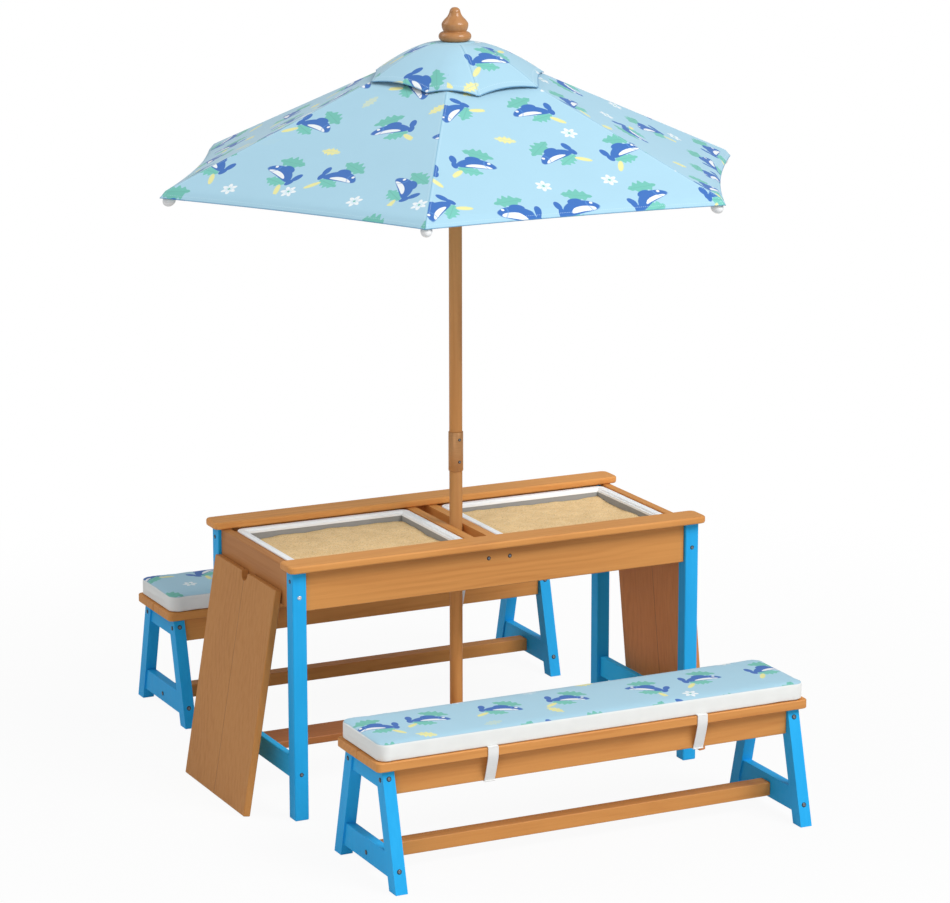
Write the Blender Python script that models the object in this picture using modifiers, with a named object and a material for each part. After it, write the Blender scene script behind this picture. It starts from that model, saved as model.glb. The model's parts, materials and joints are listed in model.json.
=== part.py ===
"""Children's sand and water table with two bins, a folding parasol and two cushioned benches.

Metres, +Z up. X runs along the table, -Y is the front, and every foot stands on Z = 0. The origin is
midway between the two benches, a little in front of the pole.
"""

import math

import bmesh
import bpy
from mathutils import Matrix

# Clearances
SEAT_GAP = 0.0003
RUN_GAP = 0.0006

# Table frame
TABLE_LENGTH = 0.916
TABLE_WIDTH = 0.418
TABLE_HEIGHT = 0.530
LEG_SECTION = 0.030
RAIL_THICK = 0.015
RAIL_WIDTH = 0.062
RAIL_END_OVERHANG = 0.011
RAIL_SIDE_OVERHANG = 0.017
RAIL_ROUND = 0.004
RAIL_CORNER = 0.013
APRON_HEIGHT = 0.084
APRON_THICK = 0.015
END_APRON_THICK = 0.018
APRON_RECESS = 0.007
LOWER_RAIL_TOP = 0.125
LOWER_RAIL_HEIGHT = 0.045
LOWER_RAIL_THICK = 0.015
FOOTBOARD_WIDTH = 0.082
FOOTBOARD_THICK = 0.015
FOOTBOARD_DROP = 0.0124
CROSSBAR_WIDTH = 0.020
CROSSBAR_HEIGHT = 0.045
LEDGE_WIDTH = 0.020
CLEAT_WIDTH = 0.020
CLEAT_HEIGHT = 0.020
EDGE_ROUND = 0.0015

# Bins and sand
RIM_WIDTH = 0.017
RIM_THICK = 0.004
RIM_END_GAP = 0.006
RIM_BAR_GAP = 0.004
RIM_SIDE_GAP = 0.001
BIN_WALL = 0.0025
BIN_DEPTH = 0.078
BIN_DRAFT = 0.008
BIN_CORNER = 0.018
SAND_DROP = 0.0175

# Lids, which lean on the table's ends
LID_THICK = 0.015
LID_END_GAP = 0.002
LID_SIDE_GAP = 0.006
NOTCH_CLEARANCE = 0.002
NOTCH_DEPTH = 0.018
LEFT_LID_LEAN = math.radians(9.4)
RIGHT_LID_LEAN = math.radians(5.0)
LEFT_LID_SHIFT = 0.017
RIGHT_LID_SHIFT = -0.008

# Parasol pole
POLE_RADIUS = 0.0135
POLE_CLEARANCE = 0.0008
POLE_FOOT = 0.0005
POLE_JOINT = 0.670
SLEEVE_WALL = 0.0015
SLEEVE_LENGTH = 0.082

# Parasol crown, ribs and runner
RIB_COUNT = 6
FIRST_RIB = math.radians(-60.7)
PIVOT_HEIGHT = 1.503
PIVOT_RADIUS = 0.0265
RIB_SLOPE = math.radians(23.3)
RIB_REACH = 0.616
RIB_WIDTH = 0.006
RIB_DEPTH = 0.010
RIB_TIP_RADIUS = 0.0105
RIB_TIP_DROP = 0.012
RIB_TIP_OUT = 0.005
LUG_LENGTH = 0.012
LUG_CHEEK = 0.001
STRUT_PLACE = 0.270
STRUT_WIDTH = 0.003
STRUT_DEPTH = 0.006
SLOT_WALL = 0.0035
HUB_RADIUS = 0.034
HUB_ABOVE = 0.009
HUB_BELOW = 0.025
HUB_SOCKET = 0.013
STEM_RADIUS = 0.008
STEM_LENGTH = 0.012
RUNNER_WALL = 0.006
RUNNER_FLANGE_RADIUS = 0.033
RUNNER_FLANGE_HEIGHT = 0.016
RUNNER_TAIL = 0.034

# Canopy and vent cap
CANOPY_RADIUS = 0.637
CANOPY_HOLE = 0.045
CANOPY_THICK = 0.002
CANOPY_LIFT = 0.0015
CANOPY_LIP = 0.015
CANOPY_DROP = 0.008
CANOPY_INSET = 0.018
CANOPY_SAG = 0.008
CAP_RADIUS = 0.205
CAP_FLAT_MARGIN = 0.001
CAP_THICK = 0.0015
CAP_LIFT = 0.0008
CAP_INSET = 0.012
CAP_POWER = 1.55

# Finial, as radii and heights above its seat
FINIAL_HEIGHT = 0.070
FINIAL_RING_RADIUS = 0.0330
FINIAL_RING_HEIGHT = 0.019
FINIAL_GROOVE_RADIUS = 0.0236
FINIAL_BULB_RADIUS = 0.0270
FINIAL_BULB_HEIGHT = 0.034
FINIAL_NECK_RADIUS = 0.0125
FINIAL_NECK_HEIGHT = 0.055

# Benches, placed from the pole's axis
FRONT_BENCH = (-0.0005, -0.5415)
BACK_BENCH = (0.026, 0.5985)
BENCH_LENGTH = 0.941
BENCH_DEPTH = 0.193
BENCH_HEIGHT = 0.248
SEAT_THICK = 0.018
SEAT_CORNER = 0.010
SEAT_SPLIT = 0.0012
BENCH_END_OVERHANG = 0.0145
BENCH_LEG_WIDTH = 0.025
BENCH_LEG_DEPTH = 0.031
FOOT_SPREAD = 0.1433
TOP_SPREAD = 0.083
BENCH_RAIL_THICK = 0.018
BENCH_UPPER_RAIL = 0.040
BENCH_LOWER_RAIL = 0.047
BENCH_LOWER_RAIL_BOTTOM = 0.0237
STRETCHER_HEIGHT = 0.028
STRETCHER_THICK = 0.034
STRETCHER_BOTTOM = 0.0286
BENCH_APRON_HEIGHT = 0.052
BENCH_APRON_THICK = 0.014
BENCH_APRON_SET = 0.080

# Cushions
CUSHION_END_INSET = 0.0015
CUSHION_SIDE_INSET = 0.0003
CUSHION_EDGE = 0.034
CUSHION_CROWN = 0.003
CUSHION_PULL = 0.0015
CUSHION_CORNER = 0.028
CUSHION_ROUND = 0.005

# Worked out from the sizes above
RAIL_UNDERSIDE = TABLE_HEIGHT - RAIL_THICK
FRAME_TOP = RAIL_UNDERSIDE - SEAT_GAP
HALF_LENGTH = TABLE_LENGTH / 2
HALF_WIDTH = TABLE_WIDTH / 2
RAIL_OUTER = HALF_WIDTH + RAIL_SIDE_OVERHANG
RAIL_INNER = RAIL_OUTER - RAIL_WIDTH
RAIL_HALF = HALF_LENGTH + RAIL_END_OVERHANG
END_FACE = HALF_LENGTH - APRON_RECESS
END_INNER = END_FACE - END_APRON_THICK
RIM_UNDERSIDE = FRAME_TOP - RIM_THICK
BAR_INNER = POLE_RADIUS + POLE_CLEARANCE
BAR_OUTER = BAR_INNER + CROSSBAR_WIDTH
RIM_NEAR = BAR_OUTER + RIM_BAR_GAP
RIM_FAR = END_INNER - RIM_END_GAP
RIM_SIDE = RAIL_INNER - RIM_SIDE_GAP
LID_LENGTH = RAIL_HALF - LID_END_GAP
LID_WIDTH = 2 * (RAIL_INNER - LID_SIDE_GAP)
RIB_LENGTH = (RIB_REACH - PIVOT_RADIUS) / math.cos(RIB_SLOPE)
LUG_DROP = RIB_DEPTH / 2 + SEAT_GAP + RUN_GAP + STRUT_DEPTH / 2
STRUT_ALONG = STRUT_PLACE * math.cos(RIB_SLOPE) - LUG_DROP * math.sin(RIB_SLOPE)
STRUT_DOWN = STRUT_PLACE * math.sin(RIB_SLOPE) + LUG_DROP * math.cos(RIB_SLOPE)
STRUT_LENGTH = math.hypot(STRUT_ALONG, STRUT_DOWN)
RUNNER_HEIGHT = PIVOT_HEIGHT - 2 * STRUT_DOWN
HUB_TOP = PIVOT_HEIGHT + HUB_ABOVE
FINIAL_SEAT = HUB_TOP + SEAT_GAP + CAP_THICK + SEAT_GAP
SEAT_UNDERSIDE = BENCH_HEIGHT - SEAT_THICK
BENCH_FRAME_TOP = SEAT_UNDERSIDE - SEAT_GAP
BENCH_FRAME_END = BENCH_LENGTH / 2 - BENCH_END_OVERHANG
CENTRE_SHIFT = -(FRONT_BENCH[1] + BACK_BENCH[1]) / 2

# Colours of the finishes
WOOD = ((0.55, 0.25, 0.085), 0.45, 0.0)
BLUE = ((0.045, 0.42, 0.83), 0.40, 0.0)
WHITE_PLASTIC = ((0.86, 0.87, 0.88), 0.35, 0.0)
SAND = ((0.62, 0.44, 0.24), 0.95, 0.0)
METAL = ((0.50, 0.28, 0.13), 0.45, 0.3)
RIB_STEEL = ((0.75, 0.76, 0.78), 0.35, 0.8)
CLOTH = ((0.38, 0.67, 0.85), 0.80, 0.0)
CUSHION_CLOTH = ((0.80, 0.82, 0.80), 0.85, 0.0)

COLLECTION = "sand_and_water_table"
CUTTERS = "cutters"


def clear_scene():
    """Empty the scene and make the two collections."""
    for item in list(bpy.data.objects):
        bpy.data.objects.remove(item, do_unlink=True)
    for name in (COLLECTION, CUTTERS):
        group = bpy.data.collections.new(name)
        bpy.context.scene.collection.children.link(group)
    return bpy.data.collections[COLLECTION], bpy.data.collections[CUTTERS]


PARTS, CUTTER_GROUP = clear_scene()


def finish_material(name, finish):
    """A Principled material of one colour, roughness and metallic value."""
    colour, roughness, metallic = finish
    material = bpy.data.materials.new(name)
    material.use_nodes = True
    shader = material.node_tree.nodes["Principled BSDF"]
    shader.inputs["Base Color"].default_value = (*colour, 1.0)
    shader.inputs["Roughness"].default_value = roughness
    shader.inputs["Metallic"].default_value = metallic
    return material


def group_empty(name, place=(0.0, 0.0, 0.0)):
    """An empty that carries the pieces of one group."""
    empty = bpy.data.objects.new(name, None)
    empty.location = place
    PARTS.objects.link(empty)
    return empty


def part(name, mesh_source, finish, parent, place=(0.0, 0.0, 0.0), turn=(0.0, 0.0, 0.0), smooth=False):
    """Make one named sub-part from a bmesh, with its own material, under its group's empty."""
    mesh = bpy.data.meshes.new(name)
    mesh_source.to_mesh(mesh)
    mesh_source.free()
    if smooth:
        mesh.shade_smooth()
        mesh.set_sharp_from_angle(angle=math.radians(40))
    if finish is not None:
        mesh.materials.append(finish_material(name, finish))
    item = bpy.data.objects.new(name, mesh)
    item.parent = parent
    item.location = place
    item.rotation_euler = turn
    PARTS.objects.link(item)
    return item


def guide(item):
    """Turn a sub-part into a hidden operand for a Boolean."""
    PARTS.objects.unlink(item)
    CUTTER_GROUP.objects.link(item)
    item.hide_render = True
    item.display_type = "WIRE"
    return item


def boolean(item, operand, operation):
    """Cut or join an operand with the EXACT solver."""
    modifier = item.modifiers.new(operation.lower(), "BOOLEAN")
    modifier.operation = operation
    modifier.object = guide(operand)
    modifier.solver = "EXACT"


def box_mesh(low, high, edge=0.0):
    """A box between two corners, with every edge chamfered by `edge`."""
    mesh = bmesh.new()
    size = [b - a for a, b in zip(low, high)]
    middle = [(a + b) / 2 for a, b in zip(low, high)]
    bmesh.ops.create_cube(mesh, size=1.0, matrix=Matrix.Translation(middle) @ Matrix.Diagonal((*size, 1.0)))
    if edge > 0:
        bmesh.ops.bevel(mesh, geom=mesh.edges[:], offset=edge, segments=1, affect="EDGES", profile=0.5)
    return mesh


def board(name, low, high, finish, parent, edge=EDGE_ROUND, steps=1, corner=0.0, sides=(-1, 1)):
    """A straight board, its origin at its middle; `corner` rounds its ends in plan on the given Y sides."""
    middle = [(a + b) / 2 for a, b in zip(low, high)]
    half = [(b - a) / 2 for a, b in zip(low, high)]
    mesh = box_mesh([-h for h in half], half)
    if corner > 0:
        upright = [e for e in mesh.edges if e.verts[0].co.xy == e.verts[1].co.xy]
        ends = [e for e in upright if math.copysign(1, e.verts[0].co.y) in sides]
        bmesh.ops.bevel(mesh, geom=ends, offset=corner, segments=4, affect="EDGES", profile=0.5)
    rims = [e for e in mesh.edges if e.calc_face_angle(0) > math.radians(60)]
    bmesh.ops.bevel(mesh, geom=rims, offset=edge, segments=steps, affect="EDGES", profile=0.5)
    return part(name, mesh, finish, parent, place=middle, smooth=steps > 1 or corner > 0)


def cylinder_mesh(radius, bottom, top, sides=32):
    """An upright round bar between two heights."""
    mesh = bmesh.new()
    place = Matrix.Translation((0, 0, (bottom + top) / 2))
    bmesh.ops.create_cone(
        mesh, cap_ends=True, segments=sides, radius1=radius, radius2=radius, depth=top - bottom, matrix=place
    )
    return mesh


def outline_mesh(points, low, high):
    """An outline in the YZ plane, drawn out along X from `low` to `high`."""
    mesh = bmesh.new()
    face = mesh.faces.new([mesh.verts.new((low, y, z)) for y, z in points])
    drawn = bmesh.ops.extrude_face_region(mesh, geom=[face])
    moved = [v for v in drawn["geom"] if isinstance(v, bmesh.types.BMVert)]
    bmesh.ops.translate(mesh, verts=moved, vec=(high - low, 0, 0))
    bmesh.ops.recalc_face_normals(mesh, faces=mesh.faces[:])
    return mesh


def arc(centre, radius, start, end, steps):
    """Points on an arc, angles in degrees."""
    angles = [math.radians(start + (end - start) * i / steps) for i in range(steps + 1)]
    return [(centre[0] + radius * math.cos(a), centre[1] + radius * math.sin(a)) for a in angles]


def turned(name, profile, closed, finish, parent, steps=32):
    """A profile of radius and height, listed down its outer side, turned about Z by a Screw."""
    mesh = bmesh.new()
    points = [mesh.verts.new((radius, 0, height)) for radius, height in profile]
    for first, second in zip(points, points[1:]):
        mesh.edges.new((first, second))
    if closed:
        mesh.edges.new((points[-1], points[0]))
    item = part(name, mesh, finish, parent)
    screw = item.modifiers.new("turn", "SCREW")
    screw.steps = steps
    screw.render_steps = steps
    screw.use_merge_vertices = True
    screw.merge_threshold = 0.00001
    screw.use_smooth_shade = True
    return item


def rounded_block(low_half, high_half, middle, bottom, top, corner):
    """An upright block with rounded corners whose half sizes run from `low_half` to `high_half`."""
    mesh = box_mesh((-1, -1, bottom), (1, 1, top))
    for vertex in mesh.verts:
        half = high_half if vertex.co.z > (bottom + top) / 2 else low_half
        vertex.co.x = middle[0] + half[0] * vertex.co.x
        vertex.co.y = middle[1] + half[1] * vertex.co.y
    upright = [e for e in mesh.edges if abs(e.verts[0].co.z - e.verts[1].co.z) > (top - bottom) / 2]
    bmesh.ops.bevel(mesh, geom=upright, offset=corner, segments=4, affect="EDGES", profile=0.5)
    return mesh


def rib_angles():
    """Number and bearing of each rib, from the front right one on."""
    return [(k + 1, FIRST_RIB + 2 * math.pi * k / RIB_COUNT) for k in range(RIB_COUNT)]


# Table frame


def table_frame(table):
    """Legs, aprons, rails and the long flat board that takes the pole."""
    inner = LEG_SECTION + SEAT_GAP
    for x_side, x_name in ((-1, "left"), (1, "right")):
        for y_side, y_name in ((-1, "front"), (1, "back")):
            x = x_side * (HALF_LENGTH - LEG_SECTION / 2)
            y = y_side * (HALF_WIDTH - LEG_SECTION / 2)
            half = LEG_SECTION / 2
            low = (x - half, y - half, 0)
            board(f"table_leg_{y_name}_{x_name}", low, (x + half, y + half, FRAME_TOP), BLUE, table)
    for side, name in ((-1, "front"), (1, "back")):
        outer = HALF_WIDTH - APRON_RECESS
        reach = HALF_LENGTH - inner
        y = sorted((side * outer, side * (outer - APRON_THICK)))
        bottom = RAIL_UNDERSIDE - APRON_HEIGHT
        board(f"{name}_apron", (-reach, y[0], bottom), (reach, y[1], FRAME_TOP), WOOD, table)
        y = sorted((side * RAIL_OUTER, side * RAIL_INNER))
        low = (-RAIL_HALF, y[0], RAIL_UNDERSIDE)
        board(f"{name}_top_rail", low, (RAIL_HALF, y[1], TABLE_HEIGHT), WOOD, table, RAIL_ROUND, 3, RAIL_CORNER)
    for side, name in ((-1, "left"), (1, "right")):
        reach = HALF_WIDTH - inner
        x = sorted((side * END_FACE, side * END_INNER))
        bottom = RAIL_UNDERSIDE - APRON_HEIGHT
        board(f"{name}_end_apron", (x[0], -reach, bottom), (x[1], reach, FRAME_TOP), WOOD, table)
        x = sorted((side * END_FACE, side * (END_FACE - LOWER_RAIL_THICK)))
        low = (x[0], -reach, LOWER_RAIL_TOP - LOWER_RAIL_HEIGHT)
        board(f"{name}_lower_rail", low, (x[1], reach, LOWER_RAIL_TOP), BLUE, table)
        x = sorted((side * (END_INNER - SEAT_GAP), side * (END_INNER - SEAT_GAP - CLEAT_WIDTH)))
        top = RIM_UNDERSIDE - SEAT_GAP
        low = (x[0], -RIM_SIDE, top - CLEAT_HEIGHT)
        board(f"{name}_end_cleat", low, (x[1], RIM_SIDE, top), WOOD, table)


def footboard(table):
    """The long flat board between the lower rails, bored for the pole."""
    reach = END_FACE - LOWER_RAIL_THICK - SEAT_GAP
    half = FOOTBOARD_WIDTH / 2
    top = LOWER_RAIL_TOP - FOOTBOARD_DROP
    low = (-reach, -half, top - FOOTBOARD_THICK)
    item = board("long_footboard", low, (reach, half, top), WOOD, table)
    hole = cylinder_mesh(BAR_INNER, -FOOTBOARD_THICK, FOOTBOARD_THICK)
    centre = (0, 0, top - FOOTBOARD_THICK / 2)
    boolean(item, part("footboard_hole", hole, None, table, place=centre), "DIFFERENCE")


def crossbars(table):
    """The two bars beside the pole; a ledge on each carries the inner rim of a bin."""
    reach = HALF_WIDTH - APRON_RECESS - APRON_THICK - SEAT_GAP
    bottom = RAIL_UNDERSIDE - CROSSBAR_HEIGHT
    ledge = BAR_OUTER + LEDGE_WIDTH
    ledge_top = RIM_UNDERSIDE - SEAT_GAP
    for side, name in ((-1, "left"), (1, "right")):
        section = [(BAR_INNER, bottom), (ledge, bottom), (ledge, ledge_top), (BAR_OUTER, ledge_top)]
        section += [(BAR_OUTER, FRAME_TOP), (BAR_INNER, FRAME_TOP)]
        mesh = outline_mesh([(side * x, z) for x, z in section], -reach, reach)
        part(f"crossbar_{name}", mesh, WOOD, table, turn=(0, 0, -math.pi / 2))


# Bins, sand and lids


def bin_and_sand(table, side, name):
    """A tapered plastic bin with a flat rim, and the sand that half fills it."""
    middle = (side * (RIM_NEAR + RIM_FAR) / 2, 0.0)
    rim = ((RIM_FAR - RIM_NEAR) / 2, RIM_SIDE)
    body = (rim[0] - RIM_WIDTH, rim[1] - RIM_WIDTH)
    floor = FRAME_TOP - BIN_DEPTH
    lower = (body[0] - BIN_DRAFT, body[1] - BIN_DRAFT)
    tray = part(
        f"bin_{name}",
        rounded_block(lower, body, middle, floor, FRAME_TOP - RIM_THICK / 2, BIN_CORNER),
        WHITE_PLASTIC,
        table,
    )
    flange = rounded_block(rim, rim, middle, RIM_UNDERSIDE, FRAME_TOP, BIN_CORNER)
    boolean(tray, part(f"bin_rim_{name}", flange, None, table), "UNION")
    slope = BIN_DRAFT / (BIN_DEPTH - RIM_THICK / 2)

    def inside(height, gap):
        """Half sizes of the hollow at a height, less a gap."""
        shrink = slope * (FRAME_TOP - RIM_THICK / 2 - height) + BIN_WALL + gap
        return (body[0] - shrink, body[1] - shrink)

    base = floor + BIN_WALL
    mouth = FRAME_TOP + RIM_THICK
    hollow = rounded_block(inside(base, 0), inside(mouth, 0), middle, base, mouth, BIN_CORNER - BIN_WALL)
    boolean(tray, part(f"bin_hollow_{name}", hollow, None, table), "DIFFERENCE")
    low = base + SEAT_GAP
    level = FRAME_TOP - SAND_DROP
    fill = rounded_block(
        inside(low, SEAT_GAP), inside(level, SEAT_GAP), middle, low, level, BIN_CORNER - BIN_WALL
    )
    part(f"sand_{name}", fill, SAND, table)


def lid(table, side, name, lean, shift):
    """A flat lid that stands on the floor and leans on an end apron, pole notch uppermost."""
    half = LID_WIDTH / 2
    face = sorted((0.0, side * LID_THICK))
    mesh = box_mesh((face[0], -half, 0), (face[1], half, LID_LENGTH), EDGE_ROUND)
    foot = side * (END_FACE + SEAT_GAP + LID_LENGTH * math.sin(lean))
    turn = (0, -side * lean, 0)
    item = part(f"lid_{name}", mesh, WOOD, table, place=(foot, shift, 0), turn=turn)
    radius = POLE_RADIUS + NOTCH_CLEARANCE
    centre = (0.0, LID_LENGTH - NOTCH_DEPTH + radius)
    mouth = LID_LENGTH + NOTCH_DEPTH
    notch = [(radius, mouth), (-radius, mouth)] + arc(centre, radius, 180, 360, 10)
    cutter = outline_mesh(notch, -2 * LID_THICK, 2 * LID_THICK)
    cutter = part(f"lid_notch_{name}", cutter, None, table, place=(foot, shift, 0), turn=turn)
    boolean(item, cutter, "DIFFERENCE")


# Parasol


def pole(parasol):
    """Two turned poles that meet inside a metal sleeve."""
    socket_top = PIVOT_HEIGHT - HUB_BELOW + HUB_SOCKET - SEAT_GAP
    for name, bottom, top in (
        ("lower_pole", POLE_FOOT, POLE_JOINT - SEAT_GAP),
        ("upper_pole", POLE_JOINT, socket_top),
    ):
        part(name, cylinder_mesh(POLE_RADIUS, bottom, top), WOOD, parasol, smooth=True)
    bore = POLE_RADIUS + SEAT_GAP
    outer = bore + SLEEVE_WALL
    low = POLE_JOINT - SLEEVE_LENGTH / 2
    high = POLE_JOINT + SLEEVE_LENGTH / 2
    turned("pole_sleeve", [(outer, high), (outer, low), (bore, low), (bore, high)], True, METAL, parasol)


def finial(parasol):
    """The turned knob: a ring, a groove, a pear-shaped bulb, and a stem that sits in the hub."""
    ring = FINIAL_RING_HEIGHT / 2
    nub = FINIAL_NECK_RADIUS * 0.75
    profile = [(0.0, FINIAL_HEIGHT)]
    profile += arc((0, FINIAL_HEIGHT - nub), nub, 70, 20, 3)
    profile += [(FINIAL_NECK_RADIUS, FINIAL_NECK_HEIGHT)]
    rise = FINIAL_NECK_HEIGHT - FINIAL_BULB_HEIGHT
    fall = FINIAL_BULB_HEIGHT - FINIAL_RING_HEIGHT
    swell = FINIAL_BULB_RADIUS - FINIAL_NECK_RADIUS
    for i in range(1, 6):
        share = i / 5
        radius = FINIAL_NECK_RADIUS + swell * math.sin(share * math.pi / 2)
        profile.append((radius, FINIAL_NECK_HEIGHT - rise * share))
    waist = FINIAL_BULB_RADIUS - FINIAL_GROOVE_RADIUS
    for i in range(1, 5):
        share = i / 4
        profile.append((FINIAL_BULB_RADIUS - waist * share * share, FINIAL_BULB_HEIGHT - fall * share))
    profile += arc((FINIAL_RING_RADIUS - ring, ring), ring, 80, -80, 8)
    profile += [(FINIAL_RING_RADIUS - ring, 0.0), (STEM_RADIUS, 0.0), (STEM_RADIUS, -STEM_LENGTH)]
    profile += [(0.0, -STEM_LENGTH)]
    item = turned("finial", profile, False, WOOD, parasol, steps=36)
    item.location.z = FINIAL_SEAT


def radial_slots(name, width, inner, outer, bottom, top, parasol):
    """One box for each rib, standing clear of the axis, as a single cutter."""
    mesh = bmesh.new()
    length = outer - inner
    for _, bearing in rib_angles():
        size = Matrix.Diagonal((length, width, top - bottom, 1.0))
        place = Matrix.Translation((inner + length / 2, 0, (bottom + top) / 2))
        bmesh.ops.create_cube(mesh, size=1.0, matrix=Matrix.Rotation(bearing, 4, "Z") @ place @ size)
    return part(name, mesh, None, parasol)


def crown_hub(parasol):
    """The slotted disc at the pole's top that the ribs hinge in."""
    bottom = PIVOT_HEIGHT - HUB_BELOW
    mesh = cylinder_mesh(HUB_RADIUS, bottom, HUB_TOP, sides=48)
    item = part("crown_hub", mesh, WHITE_PLASTIC, parasol, smooth=True)
    socket = cylinder_mesh(POLE_RADIUS + SEAT_GAP, bottom - HUB_SOCKET, bottom + HUB_SOCKET)
    boolean(item, part("hub_socket", socket, None, parasol), "DIFFERENCE")
    bore = cylinder_mesh(STEM_RADIUS + SEAT_GAP, FINIAL_SEAT - STEM_LENGTH - SEAT_GAP, HUB_TOP + STEM_LENGTH)
    boolean(item, part("hub_bore", bore, None, parasol), "DIFFERENCE")
    inner = PIVOT_RADIUS - RIB_DEPTH / 2 - RUN_GAP
    top = PIVOT_HEIGHT + RIB_DEPTH / 2 + RUN_GAP
    width = RIB_WIDTH + 2 * RUN_GAP
    slots = radial_slots("hub_slots", width, inner, HUB_RADIUS * 2, bottom - HUB_SOCKET, top, parasol)
    boolean(item, slots, "DIFFERENCE")


def runner(parasol):
    """The collar that slides on the pole; its slotted flange takes the struts' lower ends."""
    bore = POLE_RADIUS + RUN_GAP
    collar = bore + RUNNER_WALL
    half = RUNNER_FLANGE_HEIGHT / 2
    profile = [(RUNNER_FLANGE_RADIUS, half), (RUNNER_FLANGE_RADIUS, -half), (collar, -half)]
    profile += [(collar, -half - RUNNER_TAIL), (bore, -half - RUNNER_TAIL), (bore, half)]
    item = turned("runner", profile, True, WHITE_PLASTIC, parasol)
    item.location.z = RUNNER_HEIGHT
    inner = PIVOT_RADIUS - STRUT_DEPTH / 2 - RUN_GAP
    width = STRUT_WIDTH + 2 * RUN_GAP
    slots = radial_slots(
        "runner_slots", width, inner, RUNNER_FLANGE_RADIUS * 2, -RUNNER_FLANGE_HEIGHT, RUNNER_FLANGE_HEIGHT, parasol
    )
    slots.location.z = RUNNER_HEIGHT
    boolean(item, slots, "DIFFERENCE")


def round_ended_bar(length, width, depth):
    """A flat bar along X from one pivot to the other, both ends round about their pivots."""
    mesh = box_mesh((-depth / 2, -width / 2, -depth / 2), (length + depth / 2, width / 2, depth / 2))
    ends = [e for e in mesh.edges if abs(e.verts[0].co.y - e.verts[1].co.y) > width / 2]
    bmesh.ops.bevel(mesh, geom=ends, offset=depth * 0.49, segments=4, affect="EDGES", profile=0.5)
    return mesh


def ribs_and_struts(parasol):
    """Six ribs hinged at the crown, each with a lug that a strut hinges in."""
    strut_turn = math.pi - math.atan2(STRUT_DOWN, STRUT_ALONG)
    for number, bearing in rib_angles():
        turn = (0, RIB_SLOPE, bearing)
        across = (math.cos(bearing), math.sin(bearing))
        pivot = (PIVOT_RADIUS * across[0], PIVOT_RADIUS * across[1], PIVOT_HEIGHT)
        bar = round_ended_bar(RIB_LENGTH, RIB_WIDTH, RIB_DEPTH)
        rib = part(f"rib_{number}", bar, RIB_STEEL, parasol, place=pivot, turn=turn)
        lug_half = STRUT_WIDTH / 2 + RUN_GAP + LUG_CHEEK
        foot = -LUG_DROP - STRUT_DEPTH / 2
        start = STRUT_PLACE - LUG_LENGTH / 2
        end = STRUT_PLACE + LUG_LENGTH / 2
        lug = box_mesh((start, -lug_half, foot), (end, lug_half, -RIB_DEPTH / 4))
        boolean(rib, part(f"rib_lug_{number}", lug, None, parasol, place=pivot, turn=turn), "UNION")
        gap = STRUT_WIDTH / 2 + RUN_GAP
        roof = -RIB_DEPTH / 2 - SEAT_GAP
        slot = box_mesh((start - LUG_LENGTH, -gap, foot - LUG_LENGTH), (end + LUG_LENGTH, gap, roof))
        boolean(rib, part(f"rib_slot_{number}", slot, None, parasol, place=pivot, turn=turn), "DIFFERENCE")
        tip = bmesh.new()
        centre = Matrix.Translation((RIB_LENGTH + RIB_TIP_OUT, 0, -RIB_TIP_DROP))
        bmesh.ops.create_uvsphere(tip, u_segments=12, v_segments=8, radius=RIB_TIP_RADIUS, matrix=centre)
        boolean(rib, part(f"rib_tip_{number}", tip, None, parasol, place=pivot, turn=turn), "UNION")
        reach = PIVOT_RADIUS + STRUT_ALONG
        hinge = (reach * across[0], reach * across[1], PIVOT_HEIGHT - STRUT_DOWN)
        bar = round_ended_bar(STRUT_LENGTH, STRUT_WIDTH, STRUT_DEPTH)
        part(f"strut_{number}", bar, RIB_STEEL, parasol, place=hinge, turn=(0, strut_turn, bearing))


def gore_cloth(name, rib_line, inset, sag, thick, rings, finish, parasol):
    """A cloth stretched over the ribs.

    `rib_line(share)` gives radius and height along a rib, share running from the top to the rim.
    Between two ribs the cloth follows the chord; its rim is drawn in by `inset` and hangs by `sag`
    at mid gore, both growing with the square of the share.
    """
    across = 4
    mesh = bmesh.new()
    bmesh.ops.create_grid(mesh, x_segments=RIB_COUNT * across, y_segments=rings, size=0.5)
    for vertex in mesh.verts:
        turn = (vertex.co.x + 0.5) * RIB_COUNT
        gore = min(int(turn + 1e-6), RIB_COUNT - 1)
        place = turn - gore
        share = 0.5 - vertex.co.y
        radius, height = rib_line(share)
        bow = 4 * place * (1 - place) * share * share
        first = FIRST_RIB + 2 * math.pi * gore / RIB_COUNT
        second = first + 2 * math.pi / RIB_COUNT
        x = radius * ((1 - place) * math.cos(first) + place * math.cos(second))
        y = radius * ((1 - place) * math.sin(first) + place * math.sin(second))
        pull = 1 - inset * bow / radius
        vertex.co = (x * pull, y * pull, height + inset * bow * math.tan(RIB_SLOPE) - sag * bow)
    bmesh.ops.remove_doubles(mesh, verts=mesh.verts[:], dist=0.00001)
    item = part(name, mesh, finish, parasol, smooth=True)
    shell = item.modifiers.new("cloth", "SOLIDIFY")
    shell.thickness = thick
    shell.offset = -1.0
    return item


def canopy_top(radius):
    """Height of the canopy's upper side over a rib."""
    stand = (RIB_DEPTH / 2 + CANOPY_LIFT + CANOPY_THICK) / math.cos(RIB_SLOPE)
    return PIVOT_HEIGHT + stand - (radius - PIVOT_RADIUS) * math.tan(RIB_SLOPE)


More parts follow.
